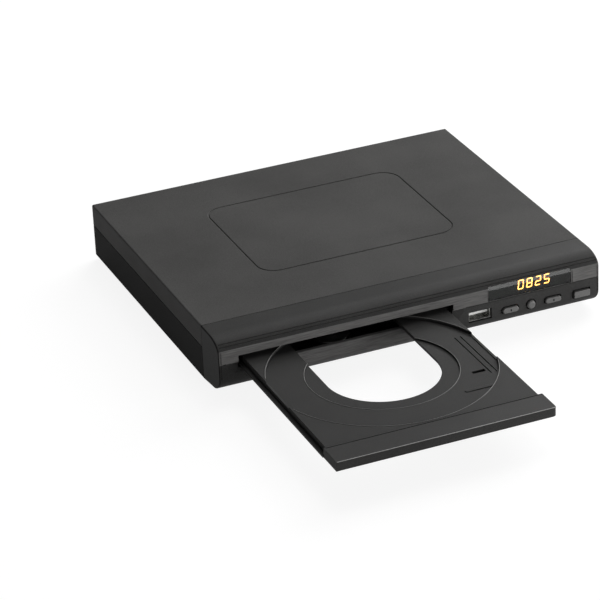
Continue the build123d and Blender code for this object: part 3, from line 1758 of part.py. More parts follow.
jack_back = case_depth + jack_reach
with BuildPart() as jack_housing:
    housing_mid = (jack_xs[0] + jack_xs[-1]) / 2
    block(
        upright(rear_front), housing_mid - housing_width / 2, housing_mid + housing_width / 2, board_top,
        jack_mid + housing_height / 2, housing_depth,
    )
    for x in jack_xs:
        round_bar(upright(rear_front), x, jack_mid, jack_core_radius, housing_depth / 2, Mode.SUBTRACT)
finish(jack_housing, "jack_housing")

with BuildPart() as jack_sleeves:
    sleeve_bore = jack_core_radius + jack_core_gap
    for x in jack_xs:
        tube(upright(jack_back), x, jack_mid, jack_radius, sleeve_bore, jack_back - rear_front)
finish(jack_sleeves, "jack_sleeves")


def jack_core(x):
    """Coloured insulator in a jack's sleeve, with the hole for the plug's pin."""
    core_end = jack_back - jack_core_sink
    core_length = core_end - rear_front + jack_core_root
    tube(upright(core_end), x, jack_mid, jack_core_radius, jack_core_bore, core_length)


with BuildPart() as video_jack_core:
    jack_core(jack_xs[0])
finish(video_jack_core, "video_jack_core")

with BuildPart() as left_jack_core:
    jack_core(jack_xs[1])
finish(left_jack_core, "left_jack_core")

with BuildPart() as right_jack_core:
    jack_core(jack_xs[2])
finish(right_jack_core, "right_jack_core")

with BuildPart() as mains_inlet:
    body_width = inlet_width - 2 * inlet_flange
    body_height = inlet_height - 2 * inlet_flange
    block(
        upright(rear_back + inlet_flange / 2),
        inlet_x - inlet_width / 2,
        inlet_x + inlet_width / 2,
        inlet_mid - inlet_height / 2,
        inlet_mid + inlet_height / 2,
        inlet_flange / 2,
    )
    block(
        upright(rear_back),
        inlet_x - body_width / 2,
        inlet_x + body_width / 2,
        inlet_mid - body_height / 2,
        inlet_mid + body_height / 2,
        inlet_length,
    )
    well_back = rear_back + inlet_flange / 2
    oval(
        upright(well_back), inlet_x, inlet_mid, inlet_well_pitch + 2 * inlet_well_radius,
        2 * inlet_well_radius, inlet_well_depth, Mode.SUBTRACT,
    )
finish(mains_inlet, "mains_inlet")

with BuildPart() as inlet_pins:
    for side in (-1, 1):
        pin_x = inlet_x + side * pin_pitch / 2
        round_bar(
            upright(well_back - pin_set_back), pin_x, inlet_mid, pin_radius, inlet_well_depth - pin_set_back
        )
finish(inlet_pins, "inlet_pins")
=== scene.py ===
import math
import bpy
from mathutils import Matrix, Vector


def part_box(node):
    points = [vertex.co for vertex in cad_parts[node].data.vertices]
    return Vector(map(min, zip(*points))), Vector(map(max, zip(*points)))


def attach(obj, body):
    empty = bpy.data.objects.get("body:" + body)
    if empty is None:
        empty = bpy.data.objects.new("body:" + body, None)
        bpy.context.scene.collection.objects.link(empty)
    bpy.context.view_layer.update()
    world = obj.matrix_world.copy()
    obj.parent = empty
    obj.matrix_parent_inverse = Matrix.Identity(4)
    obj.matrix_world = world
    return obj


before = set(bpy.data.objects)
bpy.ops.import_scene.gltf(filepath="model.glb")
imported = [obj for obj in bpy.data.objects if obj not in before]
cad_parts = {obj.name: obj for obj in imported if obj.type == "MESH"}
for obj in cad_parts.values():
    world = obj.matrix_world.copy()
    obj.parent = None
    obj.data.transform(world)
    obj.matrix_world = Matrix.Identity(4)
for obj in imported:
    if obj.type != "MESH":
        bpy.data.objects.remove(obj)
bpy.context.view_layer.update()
bpy.ops.object.select_all(action="DESELECT")
MM = 0.001

# ---------------------------------------------------------------- bottom case
# The tub that everything stands in. It is moulded in black polystyrene with a coarse
# spark-eroded skin, and closes against the cover along the side seam.


def blank(name):
    """A new material, with its nodes, its links and its shader."""
    material = bpy.data.materials.new(name)
    material.use_nodes = True
    tree = material.node_tree
    return material, tree.nodes, tree.links, tree.nodes["Principled BSDF"]


def noise(nodes, links, place, scale, detail=2):
    """Cloudy pattern over a coordinate."""
    pattern = nodes.new("ShaderNodeTexNoise")
    pattern.inputs["Scale"].default_value = scale
    pattern.inputs["Detail"].default_value = detail
    links.new(place, pattern.inputs["Vector"])
    return pattern


def ramp(nodes, links, value, low, high, start=0, end=1):
    """Colour that goes from low to high as a value goes from start to end."""
    colours = nodes.new("ShaderNodeValToRGB")
    first, last = colours.color_ramp.elements
    first.position = start
    last.position = end
    first.color = [*low, 1]
    last.color = [*high, 1]
    links.new(value, colours.inputs["Fac"])
    return colours.outputs["Color"]


def spread(nodes, links, value, low, high, start=0, end=1):
    """Number that goes from low to high as a value goes from start to end."""
    scaled = nodes.new("ShaderNodeMapRange")
    scaled.inputs["From Min"].default_value = start
    scaled.inputs["From Max"].default_value = end
    scaled.inputs["To Min"].default_value = low
    scaled.inputs["To Max"].default_value = high
    links.new(value, scaled.inputs["Value"])
    return scaled.outputs["Result"]


def multiply(nodes, links, first, second, share=1):
    """One colour darkened by another."""
    darker = nodes.new("ShaderNodeMixRGB")
    darker.blend_type = "MULTIPLY"
    darker.inputs["Fac"].default_value = share
    links.new(first, darker.inputs["Color1"])
    links.new(second, darker.inputs["Color2"])
    return darker


def bump(nodes, links, height, strength, distance):
    """Fine relief from a pattern's height."""
    relief = nodes.new("ShaderNodeBump")
    relief.inputs["Strength"].default_value = strength
    relief.inputs["Distance"].default_value = distance
    links.new(height, relief.inputs["Height"])
    return relief


def moulded(name, colour, roughness, grain, relief, edge, shine=0.2):
    """Moulded plastic: eroded grain, a slow drift of tone, edges worn bright and given a painted
    highlight, painted shade in crevices.
    """
    drift_scale = 22
    drift_swing = 0.12
    speck_swing = 0.2
    gloss_swing = 0.07
    # edge colour: partly wear, partly a painted highlight
    worn_and_lit_colour = [c * 2.4 + 0.02 for c in colour]
    # reach of the painted shade in grooves and gaps
    painted_shade_reach = 1.2 * MM
    material, nodes, links, shader = blank(name)
    shader.inputs["Specular IOR Level"].default_value = shine
    place = nodes.new("ShaderNodeTexCoord").outputs["Object"]
    skin = noise(nodes, links, place, 1 / grain, detail=4)
    skin.inputs["Roughness"].default_value = 0.6
    drift = noise(nodes, links, place, drift_scale)
    paler = [c * (1 + drift_swing) for c in colour]
    deeper = [c * (1 - drift_swing) for c in colour]
    tone = ramp(nodes, links, drift.outputs["Fac"], deeper, paler, start=0.3, end=0.7)
    dark_speck = [1 - speck_swing] * 3
    pale_speck = [1 + speck_swing] * 3
    speck = ramp(nodes, links, skin.outputs["Fac"], dark_speck, pale_speck, start=0.35, end=0.65)
    grained = multiply(nodes, links, tone, speck)
    # worn edges and painted highlight: the colour is brighter where the rounded normal leaves the
    # flat one
    rounding = nodes.new("ShaderNodeBevel")
    rounding.samples = 6
    rounding.inputs["Radius"].default_value = edge
    surface = nodes.new("ShaderNodeNewGeometry")
    agree = nodes.new("ShaderNodeVectorMath")
    agree.operation = "DOT_PRODUCT"
    links.new(rounding.outputs["Normal"], agree.inputs[0])
    links.new(surface.outputs["Normal"], agree.inputs[1])
    wear_and_highlight = spread(nodes, links, agree.outputs["Value"], 0, 0.55, start=1, end=0.8)
    worn_and_lit = nodes.new("ShaderNodeMixRGB")
    worn_and_lit.inputs["Color2"].default_value = [*worn_and_lit_colour, 1]
    links.new(wear_and_highlight, worn_and_lit.inputs["Fac"])
    links.new(grained.outputs["Color"], worn_and_lit.inputs["Color1"])
    # painted shade: grooves and gaps are darkened in the colour
    painted_shade = nodes.new("ShaderNodeAmbientOcclusion")
    painted_shade.samples = 6
    painted_shade.inputs["Distance"].default_value = painted_shade_reach
    depth = spread(nodes, links, painted_shade.outputs["AO"], 0.12, 1, start=0.3, end=0.8)
    with_painted_shade = multiply(nodes, links, worn_and_lit.outputs["Color"], depth)
    with_painted_shade.name = "colour_with_painted_shade"
    links.new(with_painted_shade.outputs["Color"], shader.inputs["Base Color"])
    gloss = spread(
        nodes, links, skin.outputs["Fac"], roughness - gloss_swing, roughness + gloss_swing
    )
    links.new(gloss, shader.inputs["Roughness"])
    texture = bump(nodes, links, skin.outputs["Fac"], relief, grain / 4)
    links.new(rounding.outputs["Normal"], texture.inputs["Normal"])
    links.new(texture.outputs["Normal"], shader.inputs["Normal"])
    return material


def dress(material, *names):
    """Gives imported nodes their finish."""
    for name in names:
        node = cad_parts[name]
        node.data.materials.clear()
        node.data.materials.append(material)


black_skin = moulded(
    "black_skin", (0.022, 0.0215, 0.021),
    roughness=0.65, grain=0.5 * MM, relief=0.5, edge=0.5 * MM, shine=0.06,
)
dress(black_skin, "bottom_case")

# ---------------------------------------------------------------- feet
# Four rubber discs stuck under the tub. Soft rubber is nearly black, dull, and always a
# little dusty.
foot_rubber = moulded(
    "foot_rubber", (0.018, 0.017, 0.016), roughness=0.85, grain=0.8 * MM, relief=0.7, edge=0.6 * MM
)
dress(foot_rubber, "rubber_feet")

# ---------------------------------------------------------------- screws and plain steel
# Zinc-plated screws and the pressed bridge over the tray. The plating is pale, a little
# cloudy, and brushed in one direction by the rolling of the sheet.


def stretched(nodes, links, place, factors):
    """Coordinate scaled along each axis, so that a pattern on it is drawn out."""
    mapping = nodes.new("ShaderNodeMapping")
    mapping.inputs["Scale"].default_value = factors
    links.new(place, mapping.inputs["Vector"])
    return mapping.outputs["Vector"]


def steel(name, colour, roughness, streak, along):
    """Bare or plated metal with fine streaks along one axis and cloudy patches."""
    streak_stretch = 0.04
    cloud_scale = 12
    cloud_depth = 0.8
    material, nodes, links, shader = blank(name)
    shader.inputs["Metallic"].default_value = 1
    place = nodes.new("ShaderNodeTexCoord").outputs["Object"]
    factors = [streak_stretch if axis == along else 1 for axis in "xyz"]
    drawn_out = stretched(nodes, links, place, factors)
    lines = noise(nodes, links, drawn_out, 1 / streak, detail=3)
    patches = noise(nodes, links, place, cloud_scale, detail=3)
    deeper = [c * cloud_depth for c in colour]
    tone = ramp(nodes, links, patches.outputs["Fac"], deeper, colour, start=0.3, end=0.7)
    links.new(tone, shader.inputs["Base Color"])
    gloss = spread(nodes, links, lines.outputs["Fac"], roughness - 0.08, roughness + 0.12)
    links.new(gloss, shader.inputs["Roughness"])
    texture = bump(nodes, links, lines.outputs["Fac"], 0.15, streak / 4)
    links.new(texture.outputs["Normal"], shader.inputs["Normal"])
    return material


zinc = steel("zinc_plate", (0.58, 0.58, 0.56), roughness=0.34, streak=0.3 * MM, along="y")
dress(zinc, "case_screws", "loader_screws", "board_screws", "clamp_bridge")

# ---------------------------------------------------------------- boards
# Green glass-fibre boards under a glossy solder mask. The copper tracks stand a little
# proud under the mask and read as paler green.


def circuit_board(name, pitch):
    """Solder mask over tracks: a brick grid stands for the copper under the green."""
    mask_roughness = 0.28
    track_height = 0.05 * MM
    material, nodes, links, shader = blank(name)
    shader.inputs["Roughness"].default_value = mask_roughness
    place = nodes.new("ShaderNodeTexCoord").outputs["Object"]
    wander = noise(nodes, links, place, 60)
    tracks = nodes.new("ShaderNodeTexBrick")
    tracks.inputs["Scale"].default_value = 1 / pitch
    tracks.inputs["Mortar Size"].default_value = 0.06
    tracks.inputs["Color1"].default_value = (0.016, 0.10, 0.035, 1)
    tracks.inputs["Color2"].default_value = (0.020, 0.12, 0.045, 1)
    tracks.inputs["Mortar"].default_value = (0.05, 0.22, 0.09, 1)
    links.new(place, tracks.inputs["Vector"])
    shade = multiply(nodes, links, tracks.outputs["Color"], wander.outputs["Fac"], share=0.3)
    links.new(shade.outputs["Color"], shader.inputs["Base Color"])
    raised = bump(nodes, links, tracks.outputs["Fac"], 0.4, track_height)
    links.new(raised.outputs["Normal"], shader.inputs["Normal"])
    return material


green_board = circuit_board("green_board", pitch=2.5 * MM)
dress(green_board, "main_board", "power_board", "front_board")

# ---------------------------------------------------------------- parts on the boards
# Epoxy chips, switches and the infrared receiver, shrink-sleeved cans, the taped
# transformer, the bare heatsink, the flat cable, and the nylon bodies of its sockets, of
# the jacks and of the mains inlet.
epoxy = moulded(
    "chip_epoxy", (0.022, 0.022, 0.024), roughness=0.5, grain=0.3 * MM, relief=0.4, edge=0.15 * MM
)
dress(epoxy, "board_chips", "tact_switches", "ir_receiver")
can_sleeve = moulded(
    "can_sleeve", (0.012, 0.016, 0.05), roughness=0.3, grain=0.6 * MM, relief=0.2, edge=0.3 * MM
)
dress(can_sleeve, "capacitors")
winding_tape = moulded(
    "winding_tape", (0.55, 0.42, 0.06), roughness=0.4, grain=0.9 * MM, relief=0.3, edge=0.3 * MM
)
dress(winding_tape, "transformer")
plain_aluminium = steel(
    "plain_aluminium", (0.62, 0.63, 0.64), roughness=0.4, streak=0.3 * MM, along="z"
)
dress(plain_aluminium, "heatsink")
ribbon_plastic = moulded(
    "ribbon_plastic", (0.55, 0.56, 0.56), roughness=0.45, grain=0.6 * MM, relief=0.2, edge=0.2 * MM
)
dress(ribbon_plastic, "front_ribbon")
black_nylon = moulded(
    "black_nylon", (0.024, 0.024, 0.024), roughness=0.45, grain=0.4 * MM, relief=0.35, edge=0.2 * MM
)
dress(black_nylon, "ribbon_sockets", "jack_housing", "mains_inlet")

# ---------------------------------------------------------------- loader
# The loader's frame and clamp are moulded black, its gears are black acetal and the sled's
# are white nylon, the motors are plated steel cans, and the belt is a square rubber cord.
loader_black = moulded(
    "loader_black", (0.028, 0.028, 0.029), roughness=0.5, grain=0.5 * MM, relief=0.4, edge=0.3 * MM
)
dress(loader_black, "loader_frame", "clamp_puck", "cam_slider", "turntable")
white_nylon = moulded(
    "white_nylon", (0.62, 0.61, 0.56), roughness=0.42, grain=0.5 * MM, relief=0.2, edge=0.2 * MM
)
dress(white_nylon, "sled_gear", "sled_motor_pinion")
acetal = moulded(
    "black_acetal", (0.030, 0.030, 0.030), roughness=0.38, grain=0.5 * MM, relief=0.2, edge=0.2 * MM
)
dress(acetal, "tray_gear", "pulley_gear", "motor_pulley")
motor_can = steel("motor_can", (0.52, 0.52, 0.51), roughness=0.3, streak=0.25 * MM, along="z")
dress(motor_can, "tray_motor", "sled_motor", "spindle_motor", "clamp_magnet")
belt_rubber = moulded(
    "belt_rubber", (0.012, 0.012, 0.012), roughness=0.75, grain=0.4 * MM, relief=0.4, edge=0.2 * MM
)
dress(belt_rubber, "drive_belt", "turntable_pad")

# ---------------------------------------------------------------- deck and sled
# The deck is pressed steel under grey paint. The sled is a dark die casting that slides
# on two ground rods and carries the coated lens.
deck_paint = moulded(
    "deck_paint", (0.16, 0.17, 0.18), roughness=0.45, grain=0.5 * MM, relief=0.3, edge=0.3 * MM
)
dress(deck_paint, "deck")
ground_steel = steel("ground_steel", (0.68, 0.68, 0.68), roughness=0.16, streak=0.2 * MM, along="y")
dress(ground_steel, "guide_rods")
die_cast = moulded(
    "die_cast", (0.05, 0.05, 0.054), roughness=0.5, grain=0.7 * MM, relief=0.5, edge=0.3 * MM
)
dress(die_cast, "laser_sled")


def clear(name, colour, roughness, streaks):
    """See-through plastic or coated glass with faint moulding streaks."""
    tint_depth = 0.92
    haze = 0.04
    material, nodes, links, shader = blank(name)
    shader.inputs["Transmission Weight"].default_value = 1
    shader.inputs["IOR"].default_value = 1.49
    place = nodes.new("ShaderNodeTexCoord").outputs["Object"]
    flow = noise(nodes, links, place, 1 / streaks)
    deeper = [c * tint_depth for c in colour]
    links.new(ramp(nodes, links, flow.outputs["Fac"], deeper, colour), shader.inputs["Base Color"])
    gloss = spread(nodes, links, flow.outputs["Fac"], roughness, roughness + haze)
    links.new(gloss, shader.inputs["Roughness"])
    return material


lens_glass = clear("lens_glass", (0.55, 0.42, 0.8), roughness=0.02, streaks=2 * MM)
dress(lens_glass, "pickup_lens")

# ---------------------------------------------------------------- tray
# The tray is moulded in black ABS with a fine matt texture. Rounded lips run along the steps
# for the two disc sizes, and their pale colour is a painted highlight on those edges.
tray_skin = moulded(
    "tray_skin", (0.034, 0.0336, 0.0328),
    roughness=0.52, grain=0.5 * MM, relief=0.4, edge=0.3 * MM, shine=0.12,
)
dress(tray_skin, "tray")
# pale lips: a painted highlight along the rounded step edges
lip_highlight = moulded(
    "lip_highlight", (0.17, 0.168, 0.164),
    roughness=0.4, grain=0.4 * MM, relief=0.2, edge=0.1 * MM, shine=0.3,
)
# black for the slot blind, and painted shade for the dark line along the door's back
blind_and_shade_black = moulded(
    "blind_and_shade_black", (0.008, 0.008, 0.008),
    roughness=0.7, grain=0.3 * MM, relief=0.2, edge=0.05 * MM, shine=0.05,
)
disc_centre = Vector((-38.7, -83.4, 0)) * MM
small_radius = 40.75 * MM
small_step = 20.9 * MM  # top of the step round an 80 mm disc
large_radius = 61.0 * MM
large_step = 22.5 * MM  # top of the step round a 120 mm disc
lip_radius = 0.22 * MM
lip_turn = 3  # degrees between two rings of a lip
round_sides = 8
smooth_under = math.radians(50)


def close_tube():
    """Caps the ends of the tube in edit mode, turns its faces outwards and smooths it."""
    bpy.ops.mesh.select_all(action="SELECT")
    bpy.ops.mesh.fill_holes(sides=round_sides)
    bpy.ops.mesh.select_all(action="SELECT")
    bpy.ops.mesh.normals_make_consistent(inside=False)
    bpy.ops.object.mode_set(mode="OBJECT")
    bpy.ops.object.shade_smooth_by_angle(angle=smooth_under)


def bead(name, radius, height, start, arc):
    """Rounded lip along one step of the tray: a small ring spun round the disc's centre."""
    turn_from = math.radians(start)
    arm = Vector((radius * math.cos(turn_from), radius * math.sin(turn_from), height))
    bpy.ops.mesh.primitive_circle_add(
        vertices=round_sides, radius=lip_radius, location=disc_centre + arm,
        rotation=(math.pi / 2, 0, turn_from),
    )
    lip = bpy.context.object
    lip.name = name
    bpy.ops.object.transform_apply(location=True, rotation=True, scale=True)
    bpy.ops.object.mode_set(mode="EDIT")
    bpy.ops.mesh.select_all(action="SELECT")
    bpy.ops.mesh.spin(
        steps=int(arc / lip_turn), angle=math.radians(arc), center=disc_centre, axis=(0, 0, -1)
    )
    close_tube()
    lip.data.materials.append(lip_highlight)
    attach(lip, "tray")
    lip.select_set(False)


bead("small_disc_lip", small_radius, small_step, start=139.8, arc=260.4)
bead("large_disc_lip", large_radius, large_step, start=197.6, arc=144.8)
bead("large_disc_lip_left", large_radius, large_step, start=121.0, arc=41.4)
bead("large_disc_lip_right", large_radius, large_step, start=17.6, arc=41.4)

# ---------------------------------------------------------------- tray door
# The door is a bar of black ABS clipped on the tray's front. A pale line along its upper
# front edge is a painted highlight, and a dark line along its back is painted shade.
door_skin = moulded(
    "door_skin", (0.046, 0.0455, 0.0448),
    roughness=0.45, grain=0.45 * MM, relief=0.3, edge=0.35 * MM, shine=0.08,
)
dress(door_skin, "tray_door")
# pale strip colour: a painted highlight along the door's upper front edge
edge_highlight_skin = moulded(
    "door_edge_highlight", (0.42, 0.415, 0.41),
    roughness=0.35, grain=0.4 * MM, relief=0.2, edge=0.05 * MM, shine=0.3,
)
edge_radius = 0.2 * MM
edge_inset = 0.24 * MM
shade_line_radius = 0.4 * MM
shade_line_sink = 0.25 * MM
door_low, door_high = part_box("tray_door")


def edge_strip(name, inset, depth, height, radius, material):
    """A thin round strip along the door, used for its painted highlight line and its painted shade
    line: a small ring drawn out and closed at both ends.
    """
    bpy.ops.mesh.primitive_circle_add(
        vertices=round_sides, radius=radius, location=(door_low[0] + inset, depth, height),
        rotation=(0, math.pi / 2, 0),
    )
    strip = bpy.context.object
    strip.name = name
    bpy.ops.object.transform_apply(location=True, rotation=True, scale=True)
    length = door_high[0] - door_low[0] - inset * 2
    bpy.ops.object.mode_set(mode="EDIT")
    bpy.ops.mesh.select_all(action="SELECT")
    bpy.ops.mesh.extrude_region_move(TRANSFORM_OT_translate={"value": (length, 0, 0)})
    close_tube()
    strip.data.materials.append(material)
    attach(strip, "tray")
    strip.select_set(False)


edge_strip(
    "door_edge_highlight_line", edge_inset * 2, door_low[1] + edge_inset, door_high[2] - edge_inset,
    edge_radius, edge_highlight_skin,
)
# dark line along the door's back: painted shade where the door meets the tray
edge_strip(
    "door_shade_line", edge_inset * 4, door_high[1] - shade_line_radius * 1.5, door_high[2] - shade_line_sink,
    shade_line_radius, blind_and_shade_black,
)

# ---------------------------------------------------------------- slot blind
# A black blind closes the bottom of the small slot to the right of the tray's recess. It
# is a thin plate with its edges broken.
slot_middle = Vector((5.9, -106.5, 19.7)) * MM
slot_length = 7.4 * MM
slot_width = 2.7 * MM
blind_thickness = 0.25 * MM


def thicken(drawn):
    """Draws the flat plate in edit mode out into a solid one, with its faces outwards."""
    bpy.ops.mesh.select_all(action="SELECT")
    bpy.ops.mesh.extrude_region_move(TRANSFORM_OT_translate={"value": drawn})
    bpy.ops.mesh.select_all(action="SELECT")
    bpy.ops.mesh.normals_make_consistent(inside=False)


bpy.ops.mesh.primitive_plane_add(size=1, location=slot_middle)
blind = bpy.context.object
blind.name = "slot_blind"
blind.scale = (slot_length, slot_width, 1)
bpy.ops.object.transform_apply(location=True, rotation=True, scale=True)
bpy.ops.object.mode_set(mode="EDIT")
thicken((0, 0, blind_thickness))
bpy.ops.mesh.bevel(offset=blind_thickness / 4, segments=2)
bpy.ops.object.mode_set(mode="OBJECT")
blind.data.materials.append(blind_and_shade_black)
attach(blind, "tray")
blind.select_set(False)

# ---------------------------------------------------------------- front moulding
# The bezel is a satin black moulding, finer than the cover, with grooves cut in its tool
# along the brow, beside the window and on the belt line. Between the belt line and the
# brow its face is paler and brushed. Under the tray its face is brushed as well, and painted
# as pale as the band to lift the tray's shade. Its two end faces are painted near black as shade.
bezel_skin = moulded(
    "bezel_skin", (0.050, 0.0494, 0.0485),
    roughness=0.42, grain=0.4 * MM, relief=0.25, edge=0.25 * MM, shine=0.07,
)
dress(bezel_skin, "front_bezel")
band_foot = 21.2 * MM
band_front = -38.6 * MM
lifted_strip_left = -88 * MM
lifted_strip_right = 20 * MM
lifted_strip_top = 17.6 * MM
lifted_strip_back = -22 * MM
# painted shade: the two end faces are painted near black
shaded_ends_from = 112.1 * MM  # past this, to the left and right, come the two end faces
end_shade_black = (0.012, 0.0118, 0.0115, 1)
brush_pitch = 0.5 * MM
brush_stretch = (0.05, 1, 1)


def compare(nodes, links, value, edge, above):
    """1 on one side of a plane, 0 on the other."""
    test = nodes.new("ShaderNodeMath")
    test.operation = "GREATER_THAN" if above else "LESS_THAN"
    test.inputs[1].default_value = edge
    links.new(value, test.inputs[0])
    return test.outputs["Value"]


def combine(nodes, links, operation, *masks):
    """Masks joined two by two: MULTIPLY keeps what all share, MAXIMUM what any has."""
    result = masks[0]
    for mask in masks[1:]:
        step = nodes.new("ShaderNodeMath")
        step.operation = operation
        links.new(result, step.inputs[0])
        links.new(mask, step.inputs[1])
        result = step.outputs["Value"]
    return result


def brush_band_and_paint_light(material):
    """Brushes the band over the belt line and the strip under the tray, painting the strip pale to
    lift the tray's shade; paints shade on the ends.
    """
    nodes = material.node_tree.nodes
    links = material.node_tree.links
    place = nodes.new("ShaderNodeTexCoord").outputs["Object"]
    along = nodes.new("ShaderNodeSeparateXYZ")
    links.new(place, along.inputs["Vector"])
    band = combine(
        nodes, links, "MULTIPLY",
        compare(nodes, links, along.outputs["Z"], band_foot, above=True),
        compare(nodes, links, along.outputs["Y"], band_front, above=False),
    )
    # the strip under the tray: brushed like the band, and painted pale to lift the tray's shade
    strip = combine(
        nodes, links, "MULTIPLY",
        compare(nodes, links, along.outputs["X"], lifted_strip_left, above=True),
        compare(nodes, links, along.outputs["X"], lifted_strip_right, above=False),
        compare(nodes, links, along.outputs["Z"], lifted_strip_top, above=False),
        compare(nodes, links, along.outputs["Y"], lifted_strip_back, above=False),
    )
    drawn_out = stretched(nodes, links, place, brush_stretch)
    brush = noise(nodes, links, drawn_out, 1 / brush_pitch, detail=3)
    brushed = ramp(
        nodes, links, brush.outputs["Fac"], (0.11, 0.108, 0.106), (0.19, 0.187, 0.184),
        start=0.3, end=0.7,
    )
    with_painted_shade = nodes["colour_with_painted_shade"]
    brushed_and_lifted = nodes.new("ShaderNodeMixRGB")
    links.new(combine(nodes, links, "MAXIMUM", band, strip), brushed_and_lifted.inputs["Fac"])
    links.new(with_painted_shade.inputs["Color1"].links[0].from_socket, brushed_and_lifted.inputs["Color1"])
    links.new(brushed, brushed_and_lifted.inputs["Color2"])
    # painted shade on the two end faces
    from_middle = nodes.new("ShaderNodeMath")
    from_middle.operation = "ABSOLUTE"
    links.new(along.outputs["X"], from_middle.inputs[0])
    shaded_ends = nodes.new("ShaderNodeMixRGB")
    shaded_ends.inputs["Color2"].default_value = end_shade_black
    end_shade_mask = compare(nodes, links, from_middle.outputs["Value"], shaded_ends_from, above=True)
    links.new(end_shade_mask, shaded_ends.inputs["Fac"])
    links.new(brushed_and_lifted.outputs["Color"], shaded_ends.inputs["Color1"])
    links.new(shaded_ends.outputs["Color"], with_painted_shade.inputs["Color1"])


brush_band_and_paint_light(bezel_skin)

# ---------------------------------------------------------------- front buttons
# Four grey caps reach through the bezel: two oval, one round and one oblong. A dark oval
# pip in the middle of each of the two oval caps is painted shade for the notch there.
button_skin = moulded(
    "button_skin", (0.16, 0.158, 0.155),
    roughness=0.35, grain=0.4 * MM, relief=0.2, edge=0.3 * MM, shine=0.4,
)
dress(button_skin, "left_oval_button", "round_button", "right_oval_button", "power_button")
notch_shade_black = moulded(
    "notch_shade_black", (0.012, 0.012, 0.012),
    roughness=0.5, grain=0.2 * MM, relief=0.2, edge=0.05 * MM, shine=0.1,
)
mark_radius = 0.6 * MM
mark_sides = 16
mark_relief = 0.06 * MM
mark_stretch = (0.7, 1, 1.3)


def notch_shade_pip(name, button):
    """Dark pip in the middle of a cap's face: painted shade for the cap's notch."""
    low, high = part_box(button)
    middle = ((low[0] + high[0]) / 2, low[1] - mark_relief / 2, (low[2] + high[2]) / 2)
    bpy.ops.mesh.primitive_circle_add(
        vertices=mark_sides, radius=mark_radius, fill_type="NGON", location=middle,
        rotation=(math.pi / 2, 0, 0),
    )
    pip = bpy.context.object
    pip.name = name
    bpy.ops.object.transform_apply(location=True, rotation=True, scale=True)
    bpy.ops.object.mode_set(mode="EDIT")
    bpy.ops.mesh.select_all(action="SELECT")
    bpy.ops.mesh.inset(thickness=mark_radius / 3, depth=0)
    bpy.ops.mesh.select_all(action="SELECT")
    bpy.ops.transform.resize(value=mark_stretch, center_override=middle)
    thicken((0, mark_relief * 2, 0))
    bpy.ops.object.mode_set(mode="OBJECT")
    pip.data.materials.append(notch_shade_black)
    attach(pip, button)
    pip.select_set(False)


notch_shade_pip("left_oval_notch_shade", "left_oval_button")
notch_shade_pip("right_oval_notch_shade", "right_oval_button")

# ---------------------------------------------------------------- display
# A smoked acrylic window stands before the display's body. Its lit bars are amber, four
# figures of seven bars each, and the rest of the body is black.
smoked = clear("smoked_window", (0.12, 0.14, 0.12), roughness=0.03, streaks=6 * MM)
dress(smoked, "display_lens")
display_black = moulded(
    "display_black", (0.006, 0.008, 0.007), roughness=0.35, grain=0.3 * MM, relief=0.2,
    edge=0.2 * MM,
)
dress(display_black, "display_module")


def lit_bars(name, low, high, strength):
    """Glowing amber with a fine unevenness."""
    flicker_scale = 900
    material, nodes, links, shader = blank(name)
    place = nodes.new("ShaderNodeTexCoord").outputs["Object"]
    flicker = noise(nodes, links, place, flicker_scale)
    tone = ramp(nodes, links, flicker.outputs["Fac"], low, high)
    links.new(tone, shader.inputs["Base Color"])
    links.new(tone, shader.inputs["Emission Color"])
    shader.inputs["Emission Strength"].default_value = strength
    return material


amber = lit_bars("amber_bars", (1.0, 0.36, 0.05), (1.0, 0.62, 0.22), strength=30)
halo = lit_bars("amber_halo", (1.0, 0.20, 0.02), (1.0, 0.26, 0.04), strength=2.5)
figure_height = 4.6 * MM
figure_width = 2.9 * MM
figure_pitch = 5.25 * MM
figure_rise = 0.35 * MM
figure_lean = 0.14
bar_thickness = 0.6 * MM
bar_relief = 0.14 * MM
bar_gap = 0.12 * MM
glow_thickness = 1.15 * MM
glow_relief = 0.06 * MM
display_low, display_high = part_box("display_module")
figures_middle = (display_low[0] + display_high[0]) / 2
figures_height = (display_low[2] + display_high[2]) / 2 + figure_rise
# where each bar sits, across and up, in halves of the figure's size, and whether it stands
bar_places = {
    "top": (0, 1, False), "top_right": (1, 0.5, True), "low_right": (1, -0.5, True),
    "foot": (0, -1, False), "low_left": (-1, -0.5, True), "top_left": (-1, 0.5, True),
    "middle": (0, 0, False),
}
# plain figures: 0 8 2 5
lit = (
    ("top", "top_right", "low_right", "foot", "low_left", "top_left"),
    ("top", "top_right", "low_right", "foot", "low_left", "top_left", "middle"),
    ("top", "top_right", "foot", "low_left", "middle"),
    ("top", "low_right", "foot", "top_left", "middle"),
)


def pointed_bar(length, thickness, relief):
    """One bar: a six-sided plate with its ends drawn out, raised a little."""
    bpy.ops.mesh.primitive_circle_add(vertices=6, radius=thickness / 2, fill_type="NGON")
    plate = bpy.context.object
    reach = (length - bar_thickness) / 2
    for vertex in plate.data.vertices:
        vertex.co.y += math.copysign(reach, vertex.co.y)
    bpy.ops.object.mode_set(mode="EDIT")
    thicken((0, 0, relief))
    bpy.ops.object.mode_set(mode="OBJECT")
    return plate


